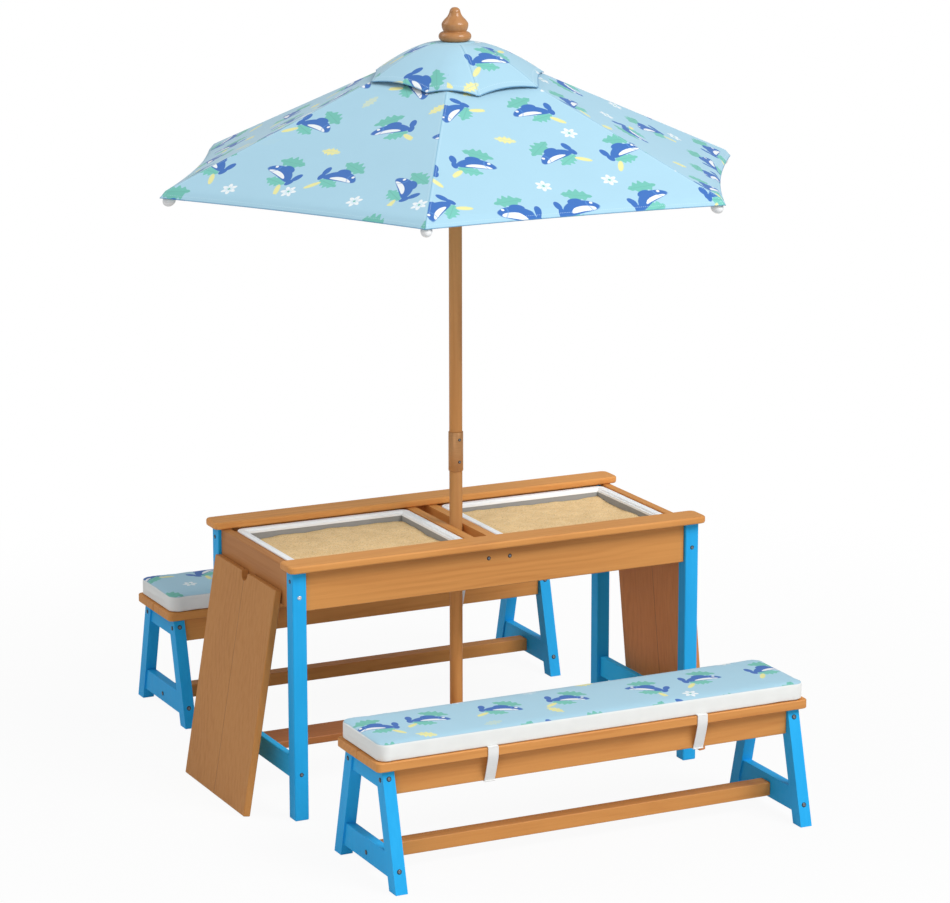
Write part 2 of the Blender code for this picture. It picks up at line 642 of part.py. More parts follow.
def canopy(parasol):
    """The main cloth: straight over the ribs, with a short lip that turns down past their tips."""
    rings = 7
    straight = 1 - 1 / rings

    def rib_line(share):
        if share > straight + 0.001:
            return CANOPY_RADIUS, canopy_top(CANOPY_RADIUS) - CANOPY_DROP
        radius = CANOPY_HOLE + (CANOPY_RADIUS - CANOPY_LIP - CANOPY_HOLE) * share / straight
        return radius, canopy_top(radius)

    gore_cloth("canopy", rib_line, CANOPY_INSET, CANOPY_SAG, CANOPY_THICK, rings, CLOTH, parasol)


def vent_cap(parasol):
    """The small domed cloth held under the finial, its rim lying over the canopy."""
    rings = 8
    top = HUB_TOP + SEAT_GAP + CAP_THICK
    edge = canopy_top(CAP_RADIUS) + CAP_LIFT + CAP_THICK
    chord = math.cos(math.pi / RIB_COUNT)
    flat = (HUB_RADIUS + CAP_FLAT_MARGIN) / chord

    def rib_line(share):
        if share < 0.5 / rings:
            return (STEM_RADIUS + SEAT_GAP) / chord, top
        out = (share * rings - 1) / (rings - 1)
        return flat + (CAP_RADIUS - flat) * out, top - (top - edge) * out**CAP_POWER

    gore_cloth("vent_cap", rib_line, CAP_INSET, 0.0, CAP_THICK, rings, CLOTH, parasol)


# Benches


def a_frame(name, bench, side):
    """Two splayed legs with an upper and a lower rail between them."""
    x_outer = side * BENCH_FRAME_END
    x_inner = side * (BENCH_FRAME_END - BENCH_LEG_WIDTH)
    low, high = sorted((x_outer, x_inner))
    lean = (FOOT_SPREAD - TOP_SPREAD) / BENCH_FRAME_TOP

    def edge(height):
        """Outer edge of a leg at a height."""
        return FOOT_SPREAD - lean * height

    def leg(y_side):
        outer = [(y_side * edge(0), 0.0), (y_side * edge(BENCH_FRAME_TOP), BENCH_FRAME_TOP)]
        inner = [(y - y_side * BENCH_LEG_DEPTH, z) for y, z in reversed(outer)]
        return outline_mesh(outer + inner, low, high)

    def rail(bottom, top):
        inset = (BENCH_LEG_WIDTH - BENCH_RAIL_THICK) / 2
        reach = [edge(z) - BENCH_LEG_DEPTH / 2 for z in (bottom, top)]
        points = [(-reach[0], bottom), (reach[0], bottom), (reach[1], top), (-reach[1], top)]
        return outline_mesh(points, low + inset, high - inset)

    item = part(name, leg(-1), BLUE, bench)
    boolean(item, part(f"{name}_back_leg", leg(1), None, bench), "UNION")
    upper_bottom = BENCH_FRAME_TOP - BENCH_UPPER_RAIL
    upper = rail(upper_bottom, BENCH_FRAME_TOP)
    boolean(item, part(f"{name}_upper_rail", upper, None, bench), "UNION")
    lower = rail(BENCH_LOWER_RAIL_BOTTOM, BENCH_LOWER_RAIL_BOTTOM + BENCH_LOWER_RAIL)
    boolean(item, part(f"{name}_lower_rail", lower, None, bench), "UNION")


def cushion(name, bench):
    """A boxed pad: rounded corners, drawn-in sides and a crowned top."""
    half = (BENCH_LENGTH / 2 - CUSHION_END_INSET, BENCH_DEPTH / 2 - CUSHION_SIDE_INSET)
    bottom = BENCH_HEIGHT + SEAT_GAP
    top = bottom + CUSHION_EDGE
    mesh = rounded_block(half, half, (0, 0), bottom, top, CUSHION_CORNER)
    rims = [e for e in mesh.edges if abs(e.verts[0].co.z - e.verts[1].co.z) < SEAT_GAP]
    bmesh.ops.bevel(mesh, geom=rims, offset=CUSHION_ROUND, segments=2, affect="EDGES", profile=0.5)
    for axis, cuts in ((0, 12), (1, 5)):
        for i in range(1, cuts):
            place = [0.0, 0.0, 0.0]
            place[axis] = half[axis] * (2 * i / cuts - 1)
            normal = [0.0, 0.0, 0.0]
            normal[axis] = 1.0
            everything = mesh.verts[:] + mesh.edges[:] + mesh.faces[:]
            bmesh.ops.bisect_plane(mesh, geom=everything, dist=0.00001, plane_co=place, plane_no=normal)
    for vertex in mesh.verts:
        a = vertex.co.x / half[0]
        b = vertex.co.y / half[1]
        rise = (vertex.co.z - bottom) / CUSHION_EDGE
        fullness = max(0.0, 1 - a**4) * max(0.0, 1 - b * b)
        vertex.co.z += CUSHION_CROWN * fullness * max(0.0, rise)
        vertex.co.y -= CUSHION_PULL * b * max(0.0, 1 - a * a)
        vertex.co.x -= CUSHION_PULL * a * max(0.0, 1 - b * b)
    part(name, mesh, CUSHION_CLOTH, bench, smooth=True)


def bench_set(label, place):
    """One bench: two seat boards, two aprons, two A-frames, a stretcher and a cushion."""
    bench = group_empty(label, (place[0], place[1] + CENTRE_SHIFT, 0.0))
    half = BENCH_LENGTH / 2
    depth = BENCH_DEPTH / 2
    split = SEAT_SPLIT / 2
    inner = BENCH_FRAME_END - BENCH_LEG_WIDTH - SEAT_GAP
    for side, name in ((-1, "front"), (1, "back")):
        y = sorted((side * depth, side * split))
        low = (-half, y[0], SEAT_UNDERSIDE)
        board(f"{label}_{name}_board", low, (half, y[1], BENCH_HEIGHT), WOOD, bench, corner=SEAT_CORNER, sides=(side,))
        y = sorted((side * BENCH_APRON_SET, side * (BENCH_APRON_SET - BENCH_APRON_THICK)))
        low = (-inner, y[0], SEAT_UNDERSIDE - BENCH_APRON_HEIGHT)
        board(f"{label}_{name}_apron", low, (inner, y[1], BENCH_FRAME_TOP), WOOD, bench)
    for side, name in ((-1, "left"), (1, "right")):
        a_frame(f"{label}_{name}_frame", bench, side)
    rail_face = BENCH_FRAME_END - BENCH_LEG_WIDTH + (BENCH_LEG_WIDTH - BENCH_RAIL_THICK) / 2
    reach = rail_face - SEAT_GAP
    low = (-reach, -STRETCHER_THICK / 2, STRETCHER_BOTTOM)
    high = (reach, STRETCHER_THICK / 2, STRETCHER_BOTTOM + STRETCHER_HEIGHT)
    board(f"{label}_stretcher", low, high, WOOD, bench)
    cushion(f"{label}_cushion", bench)


def build():
    """Make every sub-part."""
    table = group_empty("table", (0.0, CENTRE_SHIFT, 0.0))
    table_frame(table)
    footboard(table)
    crossbars(table)
    for side, name in ((-1, "left"), (1, "right")):
        bin_and_sand(table, side, name)
    lid(table, -1, "left", LEFT_LID_LEAN, LEFT_LID_SHIFT)
    lid(table, 1, "right", RIGHT_LID_LEAN, RIGHT_LID_SHIFT)
    parasol = group_empty("parasol", (0.0, CENTRE_SHIFT, 0.0))
    pole(parasol)
    finial(parasol)
    crown_hub(parasol)
    runner(parasol)
    ribs_and_struts(parasol)
    canopy(parasol)
    vent_cap(parasol)
    bench_set("bench_front", FRONT_BENCH)
    bench_set("bench_back", BACK_BENCH)
    bpy.context.view_layer.update()


build()
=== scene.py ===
# %% [markdown]
# # A sand and water table with a parasol and two benches
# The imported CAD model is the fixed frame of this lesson. Boards, legs and metal parts keep their CAD
# shape and get a finish here. Cloth, cushions, bins, sand and turned wood are made again as fine surfaces.

# %% Load the frame
import json
import math

import bmesh
import bpy
import numpy as np
from mathutils import Matrix, Vector


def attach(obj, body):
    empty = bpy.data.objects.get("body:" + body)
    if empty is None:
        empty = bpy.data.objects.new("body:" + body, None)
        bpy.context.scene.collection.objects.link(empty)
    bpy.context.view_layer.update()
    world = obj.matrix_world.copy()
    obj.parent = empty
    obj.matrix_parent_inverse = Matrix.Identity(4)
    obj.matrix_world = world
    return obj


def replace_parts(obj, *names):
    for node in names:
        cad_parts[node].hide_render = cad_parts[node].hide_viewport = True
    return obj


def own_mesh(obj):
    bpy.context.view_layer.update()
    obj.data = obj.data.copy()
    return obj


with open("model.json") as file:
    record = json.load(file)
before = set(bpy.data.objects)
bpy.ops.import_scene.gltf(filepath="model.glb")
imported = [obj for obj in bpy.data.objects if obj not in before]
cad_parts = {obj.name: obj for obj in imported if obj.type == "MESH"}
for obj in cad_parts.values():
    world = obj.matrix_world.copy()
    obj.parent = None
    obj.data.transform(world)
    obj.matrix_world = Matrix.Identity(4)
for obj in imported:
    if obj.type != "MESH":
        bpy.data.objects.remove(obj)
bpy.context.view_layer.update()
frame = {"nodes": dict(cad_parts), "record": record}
nodes = frame["nodes"]

# %% [markdown]
# The camera stands where the photograph was taken from. Its place and lens come from fitting the corners
# of the rails, legs and benches, so a piece that is true in the model falls on the same pixels. It could be
# moved by eye instead, but a small error in the lens then shows as wrong sizes.

# %% Camera
POLE_Y = -0.0285
eye = Vector((-3.16632, -6.58024 + POLE_Y, 2.39192))
ahead = Vector((0.426746, 0.874713, -0.229706)).normalized()
right = Vector((0.898664, -0.438636, -0.00078)).normalized()
up = right.cross(ahead).normalized()

lens = bpy.data.cameras.new("camera")
lens.lens = 137.99
lens.sensor_width = 36.0
lens.sensor_fit = "HORIZONTAL"
lens.clip_end = 100.0
camera = bpy.data.objects.new("camera", lens)
turn = Matrix((right, up, -ahead)).transposed().to_4x4()
camera.matrix_world = Matrix.Translation(eye) @ turn
bpy.context.scene.collection.objects.link(camera)
bpy.context.scene.camera = camera
bpy.context.scene.view_settings.view_transform = "Standard"
print("camera at", tuple(round(v, 3) for v in eye))

# %% [markdown]
# Shader sums are written as Python expressions. `Value` wraps a socket, so that `1 - mask` or `a * b`
# adds the Math nodes by itself, and `Finish.node` adds any other node from its type, its settings and
# the values of its sockets.


# %% Values
class Value:
    """A number socket; each operator adds one Math node."""

    def __init__(self, finish, socket):
        self.finish = finish
        self.socket = socket

    def math(self, operation, *others):
        """One Math node with this value first."""
        return self.finish.math(operation, self, *others)

    def __abs__(self):
        return self.math("ABSOLUTE")


def overload(sign, operation):
    """Give values one operator and its reflected form, so that `1 - mask` works too."""
    setattr(Value, f"__{sign}__", lambda value, other: value.finish.math(operation, value, other))
    setattr(Value, f"__r{sign}__", lambda value, other: value.finish.math(operation, other, value))


OPERATORS = {"add": "ADD", "sub": "SUBTRACT", "mul": "MULTIPLY", "truediv": "DIVIDE", "pow": "POWER"}
for sign, operation in OPERATORS.items():
    overload(sign, operation)
print("operators", ", ".join(OPERATORS))


# %% Finishes
class Finish:
    """The nodes of a material with one Principled shader, or of the sky."""

    def __init__(self, name, sky=None):
        self.material = sky or bpy.data.materials.new(name)
        self.material.use_nodes = True
        self.tree = self.material.node_tree
        self.shader = self.tree.nodes.get("Principled BSDF")

    def put(self, socket, value):
        """Set a socket to a number or colour, or link a value to it."""
        if isinstance(value, Value):
            self.tree.links.new(value.socket, socket)
        elif isinstance(value, (tuple, list)) and socket.type == "RGBA":
            socket.default_value = (*value, 1.0)[:4]
        else:
            socket.default_value = value

    def node(self, kind, settings=None, inputs=None, out=0):
        """One node: its settings first, then its sockets by name or number."""
        made = self.tree.nodes.new(kind)
        for key, value in (settings or {}).items():
            setattr(made, key, value)
        for key, value in (inputs or {}).items():
            self.put(made.inputs[key], value)
        return Value(self, made.outputs[out])

    def math(self, operation, *values):
        """One Math node."""
        return self.node("ShaderNodeMath", {"operation": operation}, dict(enumerate(values)))

    def step(self, low, high, value):
        """0 below `low`, 1 above `high`, smooth between."""
        sockets = {"Value": value, "From Min": low, "From Max": high}
        return self.node("ShaderNodeMapRange", {"interpolation_type": "SMOOTHSTEP"}, sockets)

    def mix(self, share, first, second):
        """A colour between two, by share."""
        return self.node("ShaderNodeMix", {"data_type": "RGBA"}, {0: share, 6: first, 7: second}, out=2)

    def layered(self, colour, *layers):
        """A ground colour with pairs of mask and colour laid over it in turn."""
        for mask, ink in layers:
            colour = self.mix(mask, colour, ink)
        return colour

    def place(self, scale=(1, 1, 1), shift=(0, 0, 0), turned_by=(0, 0, 0)):
        """Object coordinates in metres, moved, turned and scaled."""
        here = self.node("ShaderNodeTexCoord", out=3)
        return self.vector(here, scale, shift, turned_by)

    def vector(self, here, scale=(1, 1, 1), shift=(0, 0, 0), turned_by=(0, 0, 0)):
        """A Mapping node on any vector."""
        sockets = {"Vector": here, "Location": shift, "Rotation": turned_by, "Scale": scale}
        return self.node("ShaderNodeMapping", None, sockets)

    def parts(self, vector):
        """The three numbers of a vector."""
        split = self.tree.nodes.new("ShaderNodeSeparateXYZ")
        self.put(split.inputs[0], vector)
        return [Value(self, socket) for socket in split.outputs]

    def noise(self, vector, scale, detail=2.0, rough=0.5):
        """Fractal noise between 0 and 1."""
        sockets = {"Vector": vector, "Scale": scale, "Detail": detail, "Roughness": rough}
        return self.node("ShaderNodeTexNoise", None, sockets)

    def mottle(self, scale, detail=2.0, rough=0.5):
        """Fractal noise over the piece's own place."""
        return self.noise(self.place(), scale, detail, rough)

    def uv(self, name):
        """One of the piece's own maps."""
        return self.node("ShaderNodeUVMap", {"uv_map": name})

    def bump(self, height, strength, distance):
        """A bump from a height in units of `distance` metres."""
        sockets = {"Strength": strength, "Distance": distance, "Height": height}
        return self.node("ShaderNodeBump", None, sockets)

    def set(self, **sockets):
        """Set the shader's sockets; an underscore in a name stands for a space."""
        for key, value in sockets.items():
            self.put(self.shader.inputs[key.replace("_", " ")], value)
        return self.material


def paint_node(name, material):
    """Give a CAD node its finish."""
    mesh = nodes[name].data
    mesh.materials.clear()
    mesh.materials.append(material)


print("finish helpers ready")

# %% [markdown]
# The light is plain and soft: a bright even sky, a broad lamp high on the right in front, and weak ones
# on the left and behind. The floor is white and keeps a faint shadow under the feet. A picture of a studio
# could light it too, but lamps need no file and each can be set by itself.

# %% Light and floor
PLAIN_WHITE = (1.0, 1.0, 1.0)
FLOOR_REACH = 14.0
FLOOR_HEIGHT = -0.0004


def soft_lamp(name, place, target, size, power):
    """A square area lamp that looks at a target."""
    lamp = bpy.data.lights.new(name, "AREA")
    lamp.size = size
    lamp.energy = power
    item = bpy.data.objects.new(name, lamp)
    item.location = place
    item.rotation_euler = (Vector(target) - Vector(place)).to_track_quat("-Z", "Y").to_euler()
    bpy.context.scene.collection.objects.link(item)


def white_sky(strength):
    """A sky that lights evenly, and that is plain white to the camera and through clear pieces."""
    world = bpy.data.worlds.new("sky")
    bpy.context.scene.world = world
    sky = Finish("sky", world)
    light = sky.tree.nodes["Background"]
    sky.put(light.inputs["Color"], PLAIN_WHITE)
    sky.put(light.inputs["Strength"], strength)
    seen = sky.node("ShaderNodeBackground", None, {"Color": PLAIN_WHITE})
    direct = sky.node("ShaderNodeLightPath", out="Is Camera Ray")
    through = sky.node("ShaderNodeLightPath", out="Is Transmission Ray")
    share = direct.math("MAXIMUM", through)
    mixed = sky.node("ShaderNodeMixShader", None, {0: share, 1: Value(sky, light.outputs[0]), 2: seen})
    sky.put(sky.tree.nodes["World Output"].inputs[0], mixed)


white_sky(0.40)
soft_lamp("key", (1.9, -3.9, 4.9), (0, 0, 0.6), 2.6, 284)
soft_lamp("fill", (-3.5, -3.8, 1.8), (0, 0, 0.5), 3.0, 40)
soft_lamp("back", (-3.4, 2.6, 4.4), (0, 0, 0.5), 3.0, 70)

floor_mesh = bpy.data.meshes.new("floor")
square = ((-1, -1), (1, -1), (1, 1), (-1, 1))
corners = [(x * FLOOR_REACH, y * FLOOR_REACH, FLOOR_HEIGHT) for x, y in square]
floor_mesh.from_pydata(corners, [], [(0, 1, 2, 3)])
floor = bpy.data.objects.new("floor", floor_mesh)
bpy.context.scene.collection.objects.link(floor)


def white_floor():
    """A pale floor that keeps its shadow: matt to the lamps, and to the camera mostly plain white."""
    finish = Finish("floor_white")
    cloudy = finish.mottle(0.8)
    pale = finish.mix(cloudy, (0.60, 0.60, 0.60), (0.64, 0.64, 0.64))
    finish.set(Base_Color=pale, Roughness=0.9)
    x, y, _ = finish.parts(finish.place())
    far = (x * x + y * y).math("SQRT")
    veil = finish.step(0.7, 2.4, far) * 0.06 + 0.94
    direct = finish.node("ShaderNodeLightPath", out="Is Camera Ray")
    seen = direct + finish.node("ShaderNodeLightPath", out="Is Glossy Ray") * 0.5
    share = (seen * veil).math("MINIMUM", 1.0)
    glow = finish.node("ShaderNodeEmission", None, {"Color": PLAIN_WHITE, "Strength": 1.0})
    shader = Value(finish, finish.shader.outputs[0])
    both = finish.node("ShaderNodeMixShader", None, {0: share, 1: shader, 2: glow})
    finish.put(finish.tree.nodes["Material Output"].inputs["Surface"], both)
    return finish.material


floor_mesh.materials.append(white_floor())
print("light and floor ready")

# %% [markdown]
# All boards are stained softwood. Along a board the fibre is long and fine; across it, growth rings show
# as soft darker bands. A photograph of wood would need a file and a layout on every board, so the grain is
# noise in the board's own coordinates, with its own shift, so that no two neighbours match.

# %% Stained wood
TURN_TO_X = {"X": (0, 0, 0), "Y": (0, 0, -math.pi / 2), "Z": (0, math.pi / 2, 0)}
LIGHT_WOOD = (0.668, 0.294, 0.079)
DEEP_WOOD = (0.528, 0.205, 0.049)
UNDER_TABLE = (0.44, 0.53)


def toned(colour, tone):
    """A colour times a tone, which is one number or one for each channel."""
    return tuple(float(c) for c in np.multiply(colour, tone))


def stained_wood(name, grain, seed, tone=1.0, lean=0.0, seam=None, foot=None, varnish=0.0):
    """Stained softwood.

    The grain axis is turned to X. Fibre is noise drawn out along X; a ring is the sine of the distance
    across plus a slow warp, sharpened by a power. `lean` turns the grain about Y, `seam` is the place
    along Y of a joint between two boards, drawn as a fine dark groove, `foot` a lighter tone painted below
    the table top as painted light where the table shades the wood, and `varnish` the weight of a clear coat.
    """
    finish = Finish(name)
    here = finish.place(turned_by=(0, lean, 0))
    along = finish.vector(here, turned_by=TURN_TO_X[grain], shift=(seed * 1.37, seed * 0.61, seed * 0.43))
    fibre = finish.noise(finish.vector(along, scale=(3.0, 150.0, 150.0)), 1.0, 4.0, 0.6)
    warp = finish.noise(finish.vector(along, scale=(1.6, 10.0, 10.0)), 1.0, 2.0, 0.5)
    patch = finish.noise(finish.vector(along, scale=(2.0, 7.0, 7.0)), 1.0, 1.0, 0.5)
    _, across, deep = finish.parts(along)
    ring = ((across + deep * 0.7) * 380.0 + warp * 46.0).math("SINE") * 0.5 + 0.5
    ring = ring**2.0 * patch
    pore = finish.step(0.66, 0.74, finish.noise(finish.vector(along, scale=(22.0, 900.0, 900.0)), 1.0, 1.0))
    share = fibre * 0.60 + ring * 0.22 + patch * 0.30 + pore * 0.08 - 0.20
    share = finish.step(0.10, 0.74, share)
    colour = finish.mix(share, toned(LIGHT_WOOD, tone), toned(DEEP_WOOD, tone))
    # Painted light: below the table top the wood takes the lighter foot tone in place of the table's shade.
    if foot is not None:
        raised = finish.step(*UNDER_TABLE, finish.parts(here)[2])
        lower = finish.mix(share, toned(LIGHT_WOOD, foot), toned(DEEP_WOOD, foot))
        colour = finish.mix(raised, lower, colour)
    height = fibre * 0.6 - pore * 0.5 - ring * 0.2
    if seam is not None:
        side = abs(finish.parts(here)[1] - seam)
        groove = 1.0 - finish.step(0.0003, 0.0011, side)
        colour = finish.mix(groove * 0.75, colour, (0.16, 0.06, 0.02))
        height = height - groove * 4.0
    rough = 0.44 + fibre * 0.16
    return finish.set(
        Base_Color=colour,
        Roughness=rough,
        Normal=finish.bump(height, 0.22, 0.0006),
        Specular_IOR_Level=0.3,
        Coat_Weight=varnish,
        Coat_Roughness=0.18,
    )


LID_SEAMS = {"lid_left": 0.017 + POLE_Y, "lid_right": -0.008 + POLE_Y}
LID_LEANS = {"lid_left": math.radians(9.4), "lid_right": math.radians(-5.0)}
# Painted light and shade: the boards in this table get their own tones for how light falls on them. The long
# footboard under the table and the left end apron are darker as painted shade, the back top rail is lighter
# as painted light against the canopy's shadow, and the two lids are toned for their lit and shaded faces.
PAINTED_LIGHT_AND_SHADE_TONES = {"lid_left": 0.81, "lid_right": (1.08, 0.93, 1.06), "left_end_apron": (0.72, 0.69, 0.75)}
PAINTED_LIGHT_AND_SHADE_TONES |= {"long_footboard": (0.64, 0.52, 0.54), "back_top_rail": 1.14}
boards_along_y = ("left_end_apron", "right_end_apron", "left_end_cleat", "right_end_cleat")
boards_along_y += ("crossbar_left", "crossbar_right")
seed = 1
for name in sorted(nodes):
    slot = next(s["material_slot"] for s in frame["record"]["subparts"] if s["node"] == name)
    if slot != "wood":
        continue
    seed += 1
    grain = "Y" if name in boards_along_y else "Z" if name.startswith("lid") else "X"
    tone = PAINTED_LIGHT_AND_SHADE_TONES.get(name, 0.96 + 0.08 * ((seed * 7) % 11) / 10)
    wood = stained_wood(f"wood_{name}", grain, seed, tone, LID_LEANS.get(name, 0.0), LID_SEAMS.get(name))
    paint_node(name, wood)
print("wood boards", seed - 1)

# %% [markdown]
# Legs, lower rails and A-frames are painted blue. The paint is even, with the wood's fibre just showing
# through and a slightly orange-peel gloss. Paint hides how boards differ, so two finishes do for all, one
# for each way that the grain runs. The level one, on the lower rails, is also lighter, as painted light
# on rails that lie in shade.


# %% Blue paint
def blue_paint(name, grain, seed, tone=1.0):
    """Sprayed blue paint: a flat colour with faint long fibre and a fine ripple in its gloss."""
    finish = Finish(name)
    along = finish.place(turned_by=TURN_TO_X[grain], shift=(seed * 0.71, seed * 0.37, seed * 0.53))
    fibre = finish.noise(finish.vector(along, scale=(4.0, 120.0, 120.0)), 1.0, 3.0, 0.6)
    cloud = finish.noise(finish.vector(along, scale=(9.0, 14.0, 14.0)), 1.0, 2.0)
    ripple = finish.noise(along, 420.0, 2.0)
    share = fibre * 0.5 + cloud * 0.5
    pale, deep = toned((0.014, 0.385, 0.805), tone), toned((0.020, 0.430, 0.865), tone)
    colour = finish.mix(finish.step(0.25, 0.75, share), pale, deep)
    rough = 0.42 + cloud * 0.12
    normal = finish.bump(fibre * 0.7 + ripple * 0.4, 0.12, 0.0005)
    return finish.set(Base_Color=colour, Roughness=rough, Normal=normal, Specular_IOR_Level=0.2)


upright_paint = blue_paint("blue_paint_upright", "Z", 1)
# Painted light: the level paint is a lighter copy of the blue, to lift the shade on the lower rails.
level_paint_painted_light = blue_paint("blue_paint_level_painted_light", "Y", 2, (1.10, 1.22, 1.14))
for name in sorted(nodes):
    if name.startswith("table_leg") or name.endswith("_frame"):
        paint_node(name, upright_paint)
    if name.endswith("_lower_rail"):
        paint_node(name, level_paint_painted_light)
print("blue paint on", upright_paint.name, level_paint_painted_light.name)

# %% [markdown]
# New surfaces are grids of points worked out with numpy. A grid is a function of two parameters; where it
# closes on itself, its last row or column meets the first. Modelling tools could draw the same shapes, but
# a formula can be read and changed.


# %% Grids
def grid_faces(rows, columns, close_rows, close_columns):
    """Corner numbers of every cell of a grid, with wrapped ends where it is closed."""
    row = np.arange(rows if close_rows else rows - 1)
    column = np.arange(columns if close_columns else columns - 1)
    i, j = (a.ravel() for a in np.meshgrid(row, column, indexing="ij"))
    k, n = (i + 1) % rows, (j + 1) % columns
    return np.stack([i * columns + j, k * columns + j, k * columns + n, i * columns + n], axis=1)


def add_piece(name, points, faces, material):
    """A mesh object at the origin from arrays of points and faces."""
    mesh = bpy.data.meshes.new(name)
    mesh.from_pydata(np.asarray(points, float).tolist(), [], [list(map(int, f)) for f in faces])
    mesh.validate()
    mesh.shade_smooth()
    mesh.materials.append(material)
    item = bpy.data.objects.new(name, mesh)
    bpy.context.scene.collection.objects.link(item)
    return item


def surface_piece(name, grid, material, close_rows=False, close_columns=False, caps=False):
    """A piece from a grid of points; `caps` closes the first and last row with a face each."""
    rows, columns = grid.shape[:2]
    faces = grid_faces(rows, columns, close_rows, close_columns).tolist()
    if caps:
        faces.append(list(range(columns)))
        faces.append([(rows - 1) * columns + c for c in reversed(range(columns))])
    return add_piece(name, grid.reshape(-1, 3), faces, material)


def row_map(item, name, rows, columns):
    """A map whose first value runs from 0 to 1 over the rows of each grid in the piece."""
    corner = np.empty(len(item.data.loops), np.int32)
    item.data.loops.foreach_get("vertex_index", corner)
    row = (corner % (rows * columns)) // columns / (rows - 1)
    layer = item.data.uv_layers.new(name=name)
    layer.data.foreach_set("uv", np.stack([row, 0 * row], axis=1).astype(np.float32).ravel())


def outward(item):
    """Merge doubles and turn all faces of a closed shell outwards."""
    shell = bmesh.new()
    shell.from_mesh(item.data)
    bmesh.ops.remove_doubles(shell, verts=shell.verts[:], dist=1e-6)
    bmesh.ops.recalc_face_normals(shell, faces=shell.faces[:])
    shell.to_mesh(item.data)
    shell.free()
    return item


print("grid helpers ready")


# %% Profiles and outlines
def arc(centre, radii, first, last, count):
    """Profile points on an ellipse between two angles in degrees: centre plus radii times cosine and sine."""
    angle = np.radians(np.linspace(first, last, count))[:, None]
    return np.array(centre) + np.array(radii) * np.concatenate([np.cos(angle), np.sin(angle)], axis=1)


def smooth_path(points, count):
    """Catmull-Rom curve through points, resampled to `count` points of even parameter."""
    points = np.asarray(points, float)
    padded = np.vstack([2 * points[0] - points[1], points, 2 * points[-1] - points[-2]])
    place = np.linspace(0, len(points) - 1 - 1e-9, count)
    i = place.astype(int)
    t = (place - i)[:, None]
    a, b, c, d = (padded[i + k] for k in range(4))
    return 0.5 * (2 * b + (c - a) * t + (2 * a - 5 * b + 4 * c - d) * t**2 + (3 * b - a - 3 * c + d) * t**3)


def lifted(x, y, height, centre):
    """Plan points moved to a centre and lifted to a height, which is one for each row or each point."""
    return np.stack([x + centre[0], y + centre[1], np.broadcast_to(height, x.shape)], axis=-1)


def turned_points(profile, segments):
    """A profile of radius and height carried round the pole's axis."""
    profile = np.asarray(profile, float)
    angle = np.linspace(0, 2 * np.pi, segments, endpoint=False)
    radius, height = profile[:, :1], profile[:, 1:]
    return lifted(radius * np.cos(angle), radius * np.sin(angle), height, (0.0, POLE_Y))


def rounded_outline(half, corner, offsets, straight, turn):
    """Rounded rectangles, one for each offset, as rows of plan points.

    Each row runs round the four corners; an inward offset shrinks the corner's radius first and then
    the straight sides. `straight` counts the points along X and along Y, and `turn` those of a corner.
    """
    offsets = np.asarray(offsets, float)[:, None]
    radius = np.maximum(corner + offsets, 0.0)
    reach_x = np.maximum(half[0] + offsets - radius, 0.0)
    reach_y = np.maximum(half[1] + offsets - radius, 0.0)
    rows_x, rows_y = [], []
    quarter = np.linspace(0, np.pi / 2, turn)[None, :]
    signs = ((1, 1), (-1, 1), (-1, -1), (1, -1))
    for k, (sx, sy) in enumerate(signs):
        next_x, next_y = signs[(k + 1) % 4]
        share = np.linspace(0, 1, straight[k % 2] + 2)[None, 1:-1]
        turns = quarter + k * np.pi / 2
        end = (k + 1) * np.pi / 2
        rows_x.append(sx * reach_x + radius * np.cos(turns))
        rows_y.append(sy * reach_y + radius * np.sin(turns))
        rows_x.append((sx + (next_x - sx) * share) * reach_x + radius * np.cos(end))
        rows_y.append((sy + (next_y - sy) * share) * reach_y + radius * np.sin(end))
    return np.concatenate(rows_x, axis=1), np.concatenate(rows_y, axis=1)


print("profile helpers ready")

# %% [markdown]
# The pole is two turned rods that meet in a bronze-coloured sleeve, with a knob on top. Their CAD solids
# have flat facets, so the same profiles are turned again with many more steps. Cylinders would do for the
# rods, but turning gives the knob and the eased ends as well.

# %% Pole, sleeve and knob
POLE_RADIUS = 0.0135
POLE_ENDS = {"lower_pole": (0.0005, 0.6697), "upper_pole": (0.670, 1.4907)}
# Painted light: the lower pole is painted lighter below the table, where the table shades it.
LOWER_TONE, LOWER_PAINTED_LIGHT = (0.84, 0.90, 1.05), (1.22, 1.26, 1.38)
pole_wood = {"lower_pole": stained_wood("wood_lower_pole", "Z", 43, LOWER_TONE, foot=LOWER_PAINTED_LIGHT)}
pole_wood["upper_pole"] = stained_wood("wood_upper_pole", "Z", 41, (1.00, 1.08, 1.36))
knob_wood = stained_wood("wood_knob", "Z", 47, (0.69, 0.73, 0.95), varnish=0.5)


def turned_piece(name, profile, material, segments=56):
    """A closed turned piece; the profile starts and ends on the axis."""
    item = surface_piece(name, turned_points(profile, segments), material, close_columns=True)
    return outward(item)


def rod_profile(radius, low, high, ease=0.0012):
    """A rod with eased ends, listed from its top to its foot."""
    top = [(0, high), (radius - ease, high), (radius, high - ease)]
    return np.array(top + [(radius, low + ease), (radius - ease, low), (0, low)])


def worn_metal(name, tones, noise, rough, metallic, drawn=(1, 1, 1)):
    """Metal between two tones of a noise that also roughens it; `drawn` stretches the noise."""
    finish = Finish(name)
    worn = finish.noise(finish.place(scale=drawn), *noise)
    colour = finish.mix(worn, *tones)
    return finish.set(Base_Color=colour, Roughness=rough[0] + worn * rough[1], Metallic=metallic)


for name, ends in POLE_ENDS.items():
    rod = turned_piece(f"turned_{name}", rod_profile(POLE_RADIUS, *ends), pole_wood[name])
    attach(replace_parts(rod, name), "umbrella")

